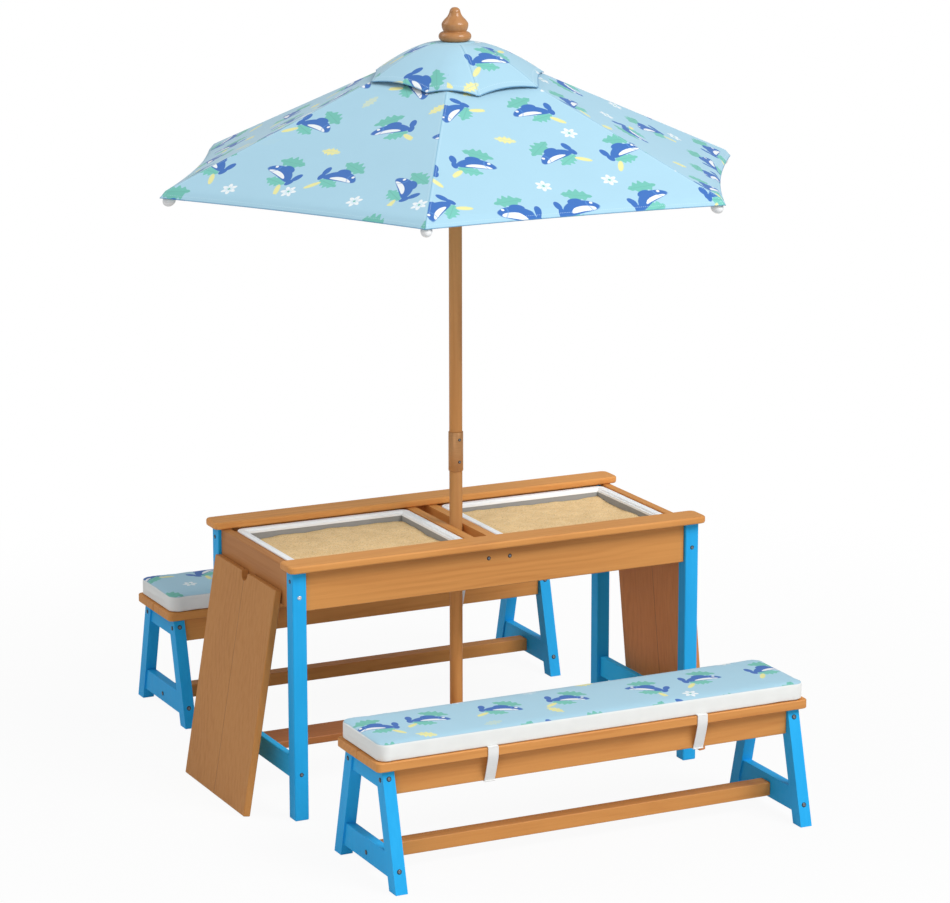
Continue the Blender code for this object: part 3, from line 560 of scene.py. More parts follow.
SLEEVE_TONES = ((0.47, 0.225, 0.085), (0.60, 0.31, 0.125))
BRUSHED = (60.0, 60.0, 900.0)
bronze = worn_metal("bronze_sleeve", SLEEVE_TONES, (1.0, 3.0), (0.34, 0.16), 0.45, BRUSHED)
SLEEVE_BORE = 0.0138
sleeve_top = [(SLEEVE_BORE, 0.711), (0.0149, 0.711), (0.0153, 0.7105)]
sleeve_foot = [(0.0153, 0.6295), (0.0149, 0.629), (SLEEVE_BORE, 0.629)]
sleeve_grid = turned_points(sleeve_top + sleeve_foot, 56)
sleeve = surface_piece("sleeve_tube", sleeve_grid, bronze, close_rows=True, close_columns=True)
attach(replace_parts(outward(sleeve), "pole_sleeve"), "umbrella")

KNOB_SEAT = 1.5151
ring = arc((0.0235, 0.0095), (0.0095, 0.0095), 84, -84, 15)
bulb_keys = [(0.0, 0.0680), (0.0057, 0.0668), (0.0100, 0.0624), (0.0121, 0.0556), (0.0159, 0.0490)]
bulb_keys += [(0.0221, 0.0424), (0.0263, 0.0363), (0.0270, 0.0315), (0.0257, 0.0253), (0.0228, 0.0193)]
bulb = smooth_path(bulb_keys, 46)
stem = [(0.0230, 0.0), (0.008, 0.0), (0.008, -0.014), (0.0, -0.014)]
knob_profile = np.vstack([bulb, ring, stem])
knob_profile[:, 1] += KNOB_SEAT
knob = turned_piece("turned_knob", knob_profile, knob_wood, 64)
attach(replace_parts(knob, "finial"), "umbrella")
print("turned pieces", len(knob.data.vertices))

# %% [markdown]
# Hub and runner are white moulded plastic, the ribs and struts thin metal bars. Each rib ends in a round
# white cap that shows just below the canopy's corner. The CAD bars are fine enough to keep, so only the
# caps are made here, as domes turned about the rib.


# %% Umbrella frame
def moulded_plastic(name, colour):
    """Moulded plastic: a pale colour with faint clouding and a fine spark-eroded grain."""
    finish = Finish(name)
    cloud = finish.mottle(18.0)
    grain = finish.mottle(1400.0)
    tint = finish.mix(cloud, colour, toned(colour, 0.94))
    normal = finish.bump(grain, 0.10, 0.0004)
    return finish.set(Base_Color=tint, Roughness=0.38 + grain * 0.12, Normal=normal)


white_plastic = moulded_plastic("white_plastic", (0.86, 0.87, 0.88))
RIB_TONES = ((0.62, 0.64, 0.67), (0.76, 0.78, 0.80))
rib_metal = worn_metal("rib_metal", RIB_TONES, (240.0, 3.0), (0.30, 0.2), 0.85)
for name in ("crown_hub", "runner"):
    paint_node(name, white_plastic)

RIB_BEARINGS = np.radians(-60.7 + 60.0 * np.arange(6))
SLOPE = math.radians(23.3)
PIVOT_R, PIVOT_Z, RIB_REACH, RIB_DEPTH = 0.0265, 1.503, 0.616, 0.010
RIB_LENGTH = (RIB_REACH - PIVOT_R) / math.cos(SLOPE)
TIP_DROP = 0.0125


def rib_point(bearing, along, drop=0.0):
    """A point on a rib's centre line, `drop` below it."""
    radius = PIVOT_R + along * math.cos(SLOPE) - drop * math.sin(SLOPE)
    height = PIVOT_Z - along * math.sin(SLOPE) - drop * math.cos(SLOPE)
    return np.array([radius * math.cos(bearing), POLE_Y + radius * math.sin(bearing), height])


def turned_about(profile, base, axis, segments=24):
    """A profile of radius and distance carried round any axis through `base`."""
    axis = np.asarray(axis, float) / np.linalg.norm(axis)
    side = np.cross(axis, (0.0, 0.0, 1.0) if abs(axis[2]) < 0.9 else (1.0, 0.0, 0.0))
    side /= np.linalg.norm(side)
    other = np.cross(axis, side)
    angle = np.linspace(0, 2 * np.pi, segments, endpoint=False)[None, :, None]
    profile = np.asarray(profile, float)
    radius, far = profile[:, 0][:, None, None], profile[:, 1][:, None, None]
    return base + far * axis + radius * (np.cos(angle) * side + np.sin(angle) * other)


for k, bearing in enumerate(RIB_BEARINGS, start=1):
    paint_node(f"rib_{k}", rib_metal)
    paint_node(f"strut_{k}", rib_metal)
    start = rib_point(bearing, RIB_LENGTH - 0.006, TIP_DROP)
    toward = rib_point(bearing, RIB_LENGTH, TIP_DROP) - start
    cap_profile = arc((0.0, 0.0125), (0.0113, 0.0135), -90, 90, 21)
    cap_profile[[0, -1], 0] = 0.0
    cap_grid = turned_about(cap_profile, start, toward)
    tip = surface_piece(f"rib_cap_{k}", cap_grid, white_plastic, close_columns=True)
    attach(outward(tip), f"rib_{k}")
print("umbrella frame ready")

# %% [markdown]
# The canopy's cloth carries a cheerful seaside print of generic fish, lobed leaves, drops and flowers on
# pale blue. A painted image could be wrapped on it; formulas stay sharp from near by and need no file. Each
# repeat is one cell of a grid; a hash of the cell's number moves and turns the motif.

# %% Colours and motifs
SKY_BLUE = (0.350, 0.575, 0.700)
NAVY = (0.014, 0.118, 0.440)
LEAF_GREEN = (0.135, 0.480, 0.395)
PALE_YELLOW = (0.770, 0.740, 0.300)
PRINT_WHITE = (0.82, 0.85, 0.86)
GILL_BLUE = (0.08, 0.25, 0.62)
THREAD_BLUE = (0.22, 0.45, 0.66)
FISH_LEAVES = (((-0.07, 0.195), 0.35, (0.21, 0.120), 1.0), ((0.10, -0.165), 0.25, (0.17, 0.100), 1.08))


def cell_place(finish, u, v, size, swing, salt):
    """Local place in a jittered cell of a grid, turned by up to `swing` either way, with two hashes."""
    cu, cv = u / size, v / size
    iu, iv = cu.math("FLOOR"), cv.math("FLOOR")
    number = finish.node("ShaderNodeCombineXYZ", None, {0: iu, 1: iv, 2: salt})
    hashed = finish.node("ShaderNodeTexWhiteNoise", {"noise_dimensions": "3D"}, {"Vector": number}, out=1)
    pick, aside, spin = finish.parts(hashed)
    x = cu - iu - 0.5 - (aside - 0.5) * 0.22
    y = cv - iv - 0.5 - (spin - 0.5) * 0.22
    angle = (spin - 0.5) * (2 * swing)
    cosine, sine = angle.math("COSINE"), angle.math("SINE")
    return x * cosine + y * sine, y * cosine - x * sine, pick, aside


def oval(finish, x, y, across, tall, soft=0.10):
    """1 inside an ellipse, 0 outside."""
    far = (x / across) * (x / across) + (y / tall) * (y / tall)
    return 1.0 - finish.step(1.0 - soft, 1.0 + soft, far)


def petals(finish, x, y, radius, count, depth, soft=0.06):
    """1 inside a flower whose edge radius swings with the angle."""
    far = (x * x + y * y).math("SQRT")
    bearing = y.math("ARCTAN2", x)
    edge = ((bearing * count).math("COSINE") * depth + (1.0 - depth)) * radius
    return 1.0 - finish.step(1.0 - soft, 1.0 + soft, far / edge)


def lobed_leaf(finish, x, y, place, tilt, half):
    """1 inside a long leaf with a lobed edge, and 1 on its midrib.

    Along the leaf `s` runs from 0 to 1. The half width is a half wave of `s`, and a faster wave swells and
    pinches it into lobes.
    """
    a, b = x - place[0], y - place[1]
    s = (a * math.cos(tilt) + b * math.sin(tilt)) / (2 * half[0]) + 0.5
    aside = abs(b * math.cos(tilt) - a * math.sin(tilt))
    edge = (s * math.pi).math("SINE") * ((s * 30.0).math("SINE") * 0.22 + 0.85) * half[1]
    ends = finish.step(0.0, 0.03, s) * finish.step(0.0, 0.03, 1.0 - s)
    leaf = finish.step(-0.008, 0.008, edge - aside) * ends
    rib = (1.0 - finish.step(0.003, 0.009, aside)) * leaf
    return leaf, rib


print("motif helpers ready")


# %% The print
def printed_colour(finish, u, v, size):
    """The print: leaves, drops, fish and flowers laid over the ground in that order."""
    colour = finish.mix(finish.mottle(9.0), SKY_BLUE, toned(SKY_BLUE, 1.05))
    x, y, _, aside = cell_place(finish, u, v, size, 0.9, 1.0)
    x = x * (aside.math("GREATER_THAN", 0.5) * 2.0 - 1.0)
    for place, tilt, half, shade in FISH_LEAVES:
        leaf, rib = lobed_leaf(finish, x, y, place, tilt, half)
        veins = (rib * 0.5, toned(LEAF_GREEN, 0.8))
        colour = finish.layered(colour, (leaf, toned(LEAF_GREEN, shade)), veins)
    drop = oval(finish, x + y * 0.9 - 0.06, y * 0.8 - x * 0.5 + 0.345, 0.050, 0.105)
    bent = y + x * x * 0.9
    body = oval(finish, x, bent, 0.26, 0.098)
    tail = oval(finish, x - 0.28, y - 0.055, 0.046, 0.085) + oval(finish, x - 0.28, y + 0.065, 0.042, 0.070)
    fin = oval(finish, x - 0.02, y - 0.085, 0.10, 0.060)
    fish = (body + tail + fin).math("MINIMUM", 1.0)
    belly = oval(finish, x + 0.03, bent + 0.050, 0.17, 0.034)
    gill = (1.0 - finish.step(0.006, 0.014, abs(x + 0.11 + y * y * 4.0))) * body * 0.5
    eye = oval(finish, x + 0.175, y - 0.015, 0.022, 0.022)
    details = (belly, PRINT_WHITE), (gill, GILL_BLUE), (eye, PRINT_WHITE)
    colour = finish.layered(colour, (drop, PALE_YELLOW), (fish, NAVY), *details)
    a, b, chosen, _ = cell_place(finish, u + size * 0.5, v + size * 0.5, size, 1.5, 4.0)
    flower = petals(finish, a, b, 0.110, 6.0, 0.20) * finish.step(0.50, 0.51, chosen)
    holes = petals(finish, a, b, 0.055, 6.0, 0.55) * flower * 0.7
    centre = oval(finish, a, b, 0.018, 0.018) * flower
    sprig, rib = lobed_leaf(finish, a, b, (0.0, 0.0), 0.6, (0.15, 0.075))
    other = finish.step(0.46, 0.45, chosen) * finish.step(0.12, 0.13, chosen)
    blossom = (flower, PRINT_WHITE), (holes, toned(SKY_BLUE, 1.15)), (centre, LEAF_GREEN)
    return finish.layered(colour, *blossom, ((sprig - rib * 0.4) * other, PALE_YELLOW))


print("print ready")

# %% Canopy cloth
CANOPY_THREAD = 0.0009
CANOPY_REPEAT = 0.155


def weave(u, v, pitch):
    """A plain weave: threads rise and fall as a product of two sines, one thread every `pitch`."""
    turn = 2 * math.pi / (2 * pitch)
    return (u * turn).math("SINE") * (v * turn).math("SINE") * 0.5 + 0.5


def stitches(finish, off, along):
    """1 on a row of stitches, where the distance `off` is near 0, with one stitch in about 4 mm."""
    dash = finish.step(-0.2, 0.2, (along * 1570.0).math("SINE"))
    return (1.0 - finish.step(0.0003, 0.0007, abs(off))) * dash


def canopy_cloth(name, size):
    """Printed canopy cloth, read from the panel's own maps in metres, with seams, hem and stitches."""
    finish = Finish(name)
    u, v, _ = finish.parts(finish.uv("print"))
    seam, hem, _ = finish.parts(finish.uv("edge"))
    threads = weave(u, v, CANOPY_THREAD)
    fold = 1.0 - finish.step(0.0004, 0.0014, seam)
    lap = 1.0 - finish.step(0.0058, 0.0062, seam)
    rim = 1.0 - finish.step(0.0105, 0.0112, hem)
    # The dark band at the rim is partly the cloth's dark hem and partly painted shadow of the gap under the
    # rim.
    edge = 1.0 - finish.step(0.0008, 0.0022, hem)
    sewn = stitches(finish, hem - 0.0088, u) + stitches(finish, seam - 0.0045, v)
    colour = finish.layered(
        printed_colour(finish, u, v * -1.0, size),
        (threads * 0.10, THREAD_BLUE),
        (fold * 0.55, (0.10, 0.30, 0.46)),
        (edge * 0.70, (0.06, 0.22, 0.42)),
        (sewn * 0.5, (0.62, 0.80, 0.90)),
    )
    slub = finish.noise(finish.vector(finish.uv("print"), scale=(60.0, 900.0, 1.0)), 1.0)
    height = threads * 0.5 + lap * 1.2 + rim * 1.2 + slub * 0.4 - fold * 1.5 - sewn * 0.6
    normal = finish.bump(height, 0.25, 0.0004)
    return finish.set(Base_Color=colour, Roughness=0.74 + threads * 0.12, Normal=normal, Sheen_Weight=0.15)


canopy_print = canopy_cloth("canopy_print", CANOPY_REPEAT)
print("print nodes", len(canopy_print.node_tree.nodes))

# %% [markdown]
# The canopy is a six-sided sheet stretched over the ribs: straight along each rib, nearly flat between
# them, with a short lip at the rim, which is drawn in between the ribs. Simulated cloth would come out much
# the same, but a formula keeps neighbouring edges together. The sheet is cut here along the ribs and the
# middle of each gore, so that each piece rides on its rib.

# %% Canopy shape
CANOPY_R, CANOPY_HOLE, LIP, DROP, INSET, SAG = 0.637, 0.045, 0.015, 0.008, 0.018, 0.008
CANOPY_LIFT, CANOPY_THICK = 0.0015, 0.002
STAND = (RIB_DEPTH / 2 + CANOPY_LIFT + CANOPY_THICK) / math.cos(SLOPE)
GORE_SHIFT, PRINT_START = (3.11, 0.37), (1.7, 0.9)
ABOVE_LIP = -9


def slope_height(radius):
    """Height of the cloth's outer side over a rib: straight down the slope."""
    return PIVOT_Z + STAND - (radius - PIVOT_R) * math.tan(SLOPE)


def canopy_line(share):
    """Radius and height along a rib: straight down the slope, then a lip that turns down."""
    radius = CANOPY_HOLE + (CANOPY_R - CANOPY_HOLE) * share
    lip = np.clip((radius - (CANOPY_R - LIP)) / LIP, 0, 1)
    return radius, slope_height(radius) - DROP * lip**2


def canopy_points(bearing, share, place):
    """Points of a panel about one rib.

    `place` runs from -0.5 to 0.5 between the middles of the two gores, and `share` from the top to the
    rim. A point lies on the chord to the neighbouring rib; the rim is drawn in and sags at mid gore.
    """
    radius, height = canopy_line(share)
    away = np.abs(place)
    beside = bearing + np.sign(place) * math.pi / 3
    x = radius * ((1 - away) * math.cos(bearing) + away * np.cos(beside))
    y = radius * ((1 - away) * math.sin(bearing) + away * np.sin(beside))
    bow = 4 * away * (1 - away) * share**2
    pull = 1 - INSET * bow / radius
    z = height + (INSET * math.tan(SLOPE) - SAG) * bow
    return np.stack([x * pull, y * pull + POLE_Y, z], axis=-1)


print("cloth stands over the ribs by", round(STAND, 4))


# %% Panels with maps
def gore_maps(points, number, place, rim, seam):
    """Print and edge maps in metres: across and down the gore, and distance to its seam and to its rim."""
    side = np.where(place >= 0, 0.5, -0.5)
    middle = RIB_BEARINGS[number] + side * math.pi / 3
    gore = np.mod(number + np.where(place >= 0, 0, -1), 6)
    x, y = points[..., 0], points[..., 1] - POLE_Y
    outward_x, outward_y = np.cos(middle), np.sin(middle)
    down = (x * outward_x + y * outward_y) * math.hypot(1.0, math.tan(SLOPE) / math.cos(math.pi / 6))
    across = -x * outward_y + y * outward_x
    chord = np.hypot(x, y) * np.abs(place - seam)
    u = across + GORE_SHIFT[0] * gore + PRINT_START[0]
    v = down + GORE_SHIFT[1] * gore + PRINT_START[1]
    return np.stack([u, v], axis=-1), np.stack([chord, rim], axis=-1)


def panel_piece(name, number, shape, rows, reach, material, thick, seam=0.0, hem=1.0):
    """A rib's panel as a thin sheet over a reach of places, each side mapped in the frame of its own gore.

    `hem` below 1 widens the bands that the cloth draws along the rim, among them the dark rim band. Edges
    with one face are sharp.
    """
    columns = round(36 * (reach[1] - reach[0])) + 1
    share = np.linspace(0, 1, rows)[:, None] * np.ones((1, columns))
    place = np.linspace(*reach, columns)[None, :] * np.ones((rows, 1))
    points = shape(RIB_BEARINGS[number], share, place)
    faces = grid_faces(rows, columns, False, False)
    step = np.linalg.norm(np.diff(points, axis=0), axis=2)
    rim = np.vstack([np.cumsum(step[::-1], axis=0)[::-1], np.zeros((1, step.shape[1]))]) * hem
    item = add_piece(name, points.reshape(-1, 3), faces, material)
    corners = faces.ravel()
    corner_side = np.repeat(np.sign(place.ravel()[faces].mean(axis=1)), 4)
    flat_place = np.maximum(np.abs(place.ravel()[corners]), 1e-9) * corner_side
    maps = gore_maps(points.reshape(-1, 3)[corners], number, flat_place, rim.ravel()[corners], seam)
    for map_name, values in zip(("print", "edge"), maps):
        layer = item.data.uv_layers.new(name=map_name)
        layer.data.foreach_set("uv", values.astype(np.float32).ravel())
    used = np.empty(len(item.data.loops), np.int32)
    item.data.loops.foreach_get("edge_index", used)
    sharp = item.data.attributes.new("sharp_edge", "BOOLEAN", "EDGE")
    sharp.data.foreach_set("value", np.bincount(used) == 1)
    wall = item.modifiers.new("cloth", "SOLIDIFY")
    wall.thickness = thick
    wall.offset = -1.0
    return item, points


def sheet_area(points):
    """Area of a grid of points, cell by cell."""
    a = points[1:, 1:] - points[:-1, :-1]
    b = points[1:, :-1] - points[:-1, 1:]
    return 0.5 * float(np.linalg.norm(np.cross(a, b), axis=2).sum())


def gather_axis(points, rib, edge):
    """Direction in the sheet from a rib to mid gore, square to the rib."""
    along = points[ABOVE_LIP, rib] - points[0, rib]
    along = along / np.linalg.norm(along)
    across = points[ABOVE_LIP, edge] - points[ABOVE_LIP, rib]
    across = across - along * (across @ along)
    return tuple(across / np.linalg.norm(across))


print("panel helpers ready")

# %% Canopy panels
canopy_area = 0.0
for k in range(6):
    for side, reach, rib in (("left", (-0.5, 0.0), -1), ("right", (0.0, 0.5), 0)):
        name = f"canopy_panel_{k + 1}_{side}"
        item, points = panel_piece(name, k, canopy_points, 48, reach, canopy_print, thick=0.0014)
        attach(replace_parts(item, "canopy"), f"rib_{k + 1}")
        axis = gather_axis(points, rib, -1 - rib)
        tuple(points[8, rib])
        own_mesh(item)
        area = sheet_area(points)
        canopy_area += area
print("canopy area", round(canopy_area, 3))

# %% [markdown]
# The vent cap is a small second sheet over the hole at the top: a low dome with a rim of seven edges. A
# plain cone would look stiff. Here the corners lie close over the canopy, and between them the rim arches,
# so that air can pass.

# %% Vent cap
CAP_FLAT, CAP_TOP = 0.0404, 1.5126
CAP_CORNERS = np.radians([-177.5, -132.3, -102.2, -62.2, -0.7, 59.3, 119.3, 182.5])
CAP_RADII = np.array([0.190, 0.196, 0.200, 0.206, 0.200, 0.200, 0.198, 0.190])
CAP_LIFTS = np.array([5.5, 4.5, 3.5, 4.0, 4.0, 4.0, 4.0, 5.5]) / 1000
CAP_SEAMS = (-0.025, 0.0, 0.0, 0.0, 0.053, 0.308)


def canopy_height(radius, angle):
    """Height of the flat gores at a place round the pole."""
    off = np.mod(angle - RIB_BEARINGS[0], math.pi / 3) - math.pi / 6
    chord = radius * np.cos(off) / math.cos(math.pi / 6)
    return slope_height(chord)


def cap_rim(angle):
    """Radius and height of the cap's rim: a straight line between two corners, with an arch.

    The line's share `t` follows from where the bearing crosses it. A short edge spans a rib and swells
    over it, a long one is drawn in, and both are lifted, by lengths that go as t times 1 - t.
    """
    turned_on = np.mod(angle - CAP_CORNERS[0], 2 * np.pi) + CAP_CORNERS[0]
    i = np.clip(np.searchsorted(CAP_CORNERS, turned_on, side="right") - 1, 0, 6)
    plan = CAP_RADII[:, None] * np.stack([np.cos(CAP_CORNERS), np.sin(CAP_CORNERS)], axis=1)
    top = canopy_height(CAP_RADII, CAP_CORNERS) + CAP_LIFTS
    p, edge = plan[i], plan[i + 1] - plan[i]
    x, y = np.cos(angle), np.sin(angle)
    t = -(p[..., 0] * y - p[..., 1] * x) / (edge[..., 0] * y - edge[..., 1] * x)
    arch = 4 * t * (1 - t)
    over_rib = CAP_CORNERS[i + 1] - CAP_CORNERS[i] < math.radians(35)
    radius = np.hypot(*np.moveaxis(p + t[..., None] * edge, -1, 0)) + np.where(over_rib, 0.006, -0.005) * arch
    height = top[i] + t * (top[i + 1] - top[i]) + np.where(over_rib, 0.009, 0.008) * arch
    return radius, np.maximum(height, canopy_height(radius, angle) + 0.003)


def cap_points(bearing, share, place):
    """Points of the cap about one rib: the height falls from the flat top with the power 1.5 of the share."""
    angle = bearing + place * math.pi / 3
    rim, foot = cap_rim(angle)
    radius = CAP_FLAT + (rim - CAP_FLAT) * share
    height = CAP_TOP - (CAP_TOP - foot) * share**1.5
    return np.stack([radius * np.cos(angle), radius * np.sin(angle) + POLE_Y, height], axis=-1)


for k in range(6):
    name = f"vent_panel_{k + 1}"
    # Painted shadow: hem 0.6 widens the dark rim band into a painted shadow under the cap's lifted rim.
    looks = {"material": canopy_print, "thick": 0.0012, "seam": CAP_SEAMS[k], "hem": 0.6}
    item, points = panel_piece(name, k, cap_points, 26, (-0.5, 0.5), **looks)
    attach(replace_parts(item, "vent_cap"), f"rib_{k + 1}")
    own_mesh(item)
    round(sheet_area(points), 4)

patch_profile = [(0.0083, CAP_TOP + 0.0010), (0.0083, CAP_TOP + 0.0022), (0.0300, CAP_TOP + 0.0022)]
patch_profile += [(CAP_FLAT, CAP_TOP), (CAP_FLAT, CAP_TOP - 0.0012)]
finish = Finish("cap_top_cloth")
threads = weave(*finish.parts(finish.place())[:2], CANOPY_THREAD)
plain = finish.mix(threads * 0.12, SKY_BLUE, THREAD_BLUE)
top_cloth = finish.set(Base_Color=plain, Roughness=0.8, Normal=finish.bump(threads, 0.2, 0.0004))
patch_grid = turned_points(patch_profile, 48)
patch = surface_piece("vent_top", patch_grid, top_cloth, close_rows=True, close_columns=True)
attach(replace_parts(outward(patch), "vent_cap"), "umbrella")
print("vent cap ready")

# %% [markdown]
# The bins are vacuum-formed trays. A profile of offset and height, carried round a rounded rectangle,
# gives the rolled rim, a small step inside it and the tapered wall, as one shell. Hollowing a bevelled box
# would give the same wall, but no roll.

# %% Bins
RIM_TOP, RIM_HALF, RIM_CORNER = 0.5147, (0.19435, 0.163), 0.018
BIN_X, BIN_FLOOR, BIN_MIDDLE, BIN_WALL = 0.23265, 0.4367, -0.149, 0.0025
SIDES = ((-1, "left"), (1, "right"))
finish = Finish("bin_plastic")
scuff = finish.noise(finish.place(scale=(90.0, 90.0, 240.0)), 1.0, 4.0, 0.65)
cloud = finish.mottle(14.0)
tint = finish.mix(cloud * 0.6 + scuff * 0.3, (0.97, 0.97, 0.97), (0.93, 0.93, 0.94))
# Painted shade: the inner wall below the rim's step is painted dark grey, standing in for the shade inside
# the tray.
inner = finish.parts(finish.uv("wall"))[0]
inside = finish.step(0.5072, 0.5058, finish.parts(finish.place())[2]) * finish.step(0.50, 0.55, inner)
tint = finish.mix(inside * 0.9, tint, (0.22, 0.21, 0.19))
pebbled = finish.bump(finish.mottle(900.0), 0.08, 0.0004)
bin_plastic = finish.set(Base_Color=tint, Roughness=0.34 + scuff * 0.2, Normal=pebbled)


def bin_profile():
    """Offset and height from the middle of the floor's underside, over the rim, to the middle inside."""
    wall_low, wall_high = -0.025, -0.017
    inner_low, inner_high = wall_low - BIN_WALL, wall_high - BIN_WALL
    outer = [(BIN_MIDDLE, BIN_FLOOR), (wall_low - 0.004, BIN_FLOOR), (wall_low - 0.001, BIN_FLOOR + 0.001)]
    outer += [(wall_low, BIN_FLOOR + 0.004), (wall_high, RIM_TOP - 0.0042), (-0.0012, RIM_TOP - 0.004)]
    roll = [(-0.0002, RIM_TOP - 0.0034), (0.0, RIM_TOP - 0.0020), (-0.0006, RIM_TOP - 0.0006)]
    top = [(-0.0020, RIM_TOP), (-0.0135, RIM_TOP), (-0.0150, RIM_TOP - 0.0006), (-0.0158, RIM_TOP - 0.0022)]
    step = [(-0.0162, RIM_TOP - 0.0034), (-0.0186, RIM_TOP - 0.0038), (inner_high, RIM_TOP - 0.0056)]
    inner = [(inner_low - 0.0002, BIN_FLOOR + 0.006), (inner_low - 0.003, BIN_FLOOR + 0.0026)]
    inner += [(BIN_MIDDLE, BIN_FLOOR + BIN_WALL)]
    return np.array(outer + roll + top + step + inner)


profile = bin_profile()
x, y = rounded_outline(RIM_HALF, RIM_CORNER, profile[:, 0], (20, 16), 10)
for side, name in SIDES:
    grid = lifted(x, y, profile[:, 1:], (side * BIN_X, POLE_Y))
    tray = surface_piece(f"tray_{name}", grid, bin_plastic, close_columns=True, caps=True)
    row_map(tray, "wall", *grid.shape[:2])
    outward(tray)
    tray.data.set_sharp_from_angle(angle=math.radians(50))
    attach(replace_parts(tray, f"bin_{name}"), f"bin_{name}")
print("bins ready")

# %% [markdown]
# Sand is a height field inside each bin: a few broad mounds and smaller ripples from sums of sines, and
# grains that only the shader shows. Loose grains as real pieces would be far too many.

# %% Sand
SAND_LEVEL = 0.4966
finish = Finish("play_sand")
cells = {"Vector": finish.place(), "Scale": 620.0}
speck = finish.node("ShaderNodeTexVoronoi", {"feature": "F1"}, cells, out=0)
tone = finish.parts(finish.node("ShaderNodeTexVoronoi", {"feature": "F1"}, cells, out=1))[0]
damp = finish.mottle(26.0, 3.0, 0.6)
lump = finish.mottle(170.0, 3.0, 0.6)
warm = finish.mix(finish.step(0.3, 0.7, damp), (0.890, 0.610, 0.305), (0.790, 0.525, 0.248))
pale_grains = (finish.step(0.80, 0.95, tone) * 0.55, (0.88, 0.72, 0.48))
dark_grains = (finish.step(0.16, 0.04, tone) * 0.45, (0.30, 0.17, 0.075))
mixed = finish.layered(warm, pale_grains, dark_grains)
sand_height = speck * -0.9 + lump * 2.2
play_sand = finish.set(Base_Color=mixed, Roughness=0.95, Normal=finish.bump(sand_height, 0.42, 0.0011))


def dune(x, y, turn):
    """Height of the sand above its level: two broad crossed waves, two finer ones and a small ripple."""
    broad = 0.0018 * np.sin(17 * x + 9 * y + turn) + 0.0013 * np.sin(-11 * x + 24 * y + 2.1 * turn)
    fine = 0.0009 * np.sin(61 * x - 37 * y + turn) + 0.0006 * np.sin(83 * y + 52 * x + 3.0 * turn)
    return broad + fine + 0.0005 * np.sin(171 * x + turn) * np.sin(149 * y)


offsets = np.concatenate([[BIN_MIDDLE, -0.0288, -0.0288], np.linspace(-0.0216, BIN_MIDDLE, 44)])
x, y = rounded_outline(RIM_HALF, RIM_CORNER, offsets, (40, 30), 8)
for side, name in SIDES:
    height = SAND_LEVEL + dune(x, y, 1.3 + side)
    height[:3] = BIN_FLOOR + np.array([[0.0032], [0.0032], [0.0060]])
    grid = lifted(x, y, height, (side * BIN_X, POLE_Y))
    bed = surface_piece(f"sand_bed_{name}", grid, play_sand, close_columns=True, caps=True)
    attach(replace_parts(outward(bed), f"sand_{name}"), f"bin_{name}")
print("sand ready")

# %% [markdown]
# Each bench has a boxed foam cushion: a printed top panel sewn to a white band. A thin pillow is blown up
# with Blender's cloth for a few frames, so that it rounds over and draws in as a stuffed cover does, which
# a bevelled box doesn't.

# %% Cushion cloth
CUSHION_REPEAT = 0.148
SEAT_TOP = 0.248
PAD_HALF, PAD_CORNER = (0.4690, 0.0968), 0.024
PAD_LOW, PAD_SEAM, PAD_HIGH = SEAT_TOP + 0.0008, SEAT_TOP + 0.0338, SEAT_TOP + 0.0346


def cushion_cloth(name, seam_height):
    """Print on the top panel and white cloth on the band, parted by a sewn seam at one height."""
    finish = Finish(name)
    x, y, z = finish.parts(finish.place())
    threads = weave(x, y + z, 0.0008)
    band = finish.mix(finish.mottle(30.0, 3.0), (0.85, 0.86, 0.84), (0.77, 0.78, 0.76))
    top = finish.step(-0.0003, 0.0003, z - seam_height)
    seam = 1.0 - finish.step(0.0004, 0.0012, abs(z - seam_height))
    colour = finish.layered(
        band,
        (top, printed_colour(finish, x + 2.0, y + 3.0, CUSHION_REPEAT)),
        (seam * 0.35, (0.35, 0.45, 0.52)),
        (threads * 0.07, (0.45, 0.52, 0.58)),
    )
    height = threads * 0.5 - seam * 2.5 + finish.mottle(260.0) * 0.6
    normal = finish.bump(height, 0.3, 0.0005)
    return finish.set(Base_Color=colour, Roughness=0.80, Normal=normal, Sheen_Weight=0.12)


cushion_finish = cushion_cloth("cushion_print", PAD_SEAM)
print("cushion cloth ready")


# %% Cushions
def pad_profile():
    """Offset and height of the pillow from the middle of its underside round to the middle of its top."""
    low, high = PAD_LOW, PAD_HIGH
    flat = np.linspace(PAD_HALF[1], 0.0072, 19)
    bottom = np.stack([-flat, np.full(19, low)], axis=1)
    under = arc((-0.0050, low + 0.0030), (0.0030, 0.0030), -90, 0, 7)
    rise = np.linspace(low + 0.0060, high - 0.0065, 6)
    side = np.stack([np.full(6, -0.0018), rise], axis=1)
    over = arc((-0.0056, high - 0.0036), (0.0036, 0.0036), 0, 90, 7)
    top = np.stack([-flat[::-1], high + 0.0026 * (1 - np.exp(-flat[::-1] / 0.03))], axis=1)
    return np.vstack([bottom, under, side, over, top])


BLOW_FRAMES, BLOW_CAP = 20, 0.0025
PAD_REST, PAD_SLACK = SEAT_TOP + 0.0006, 0.0010


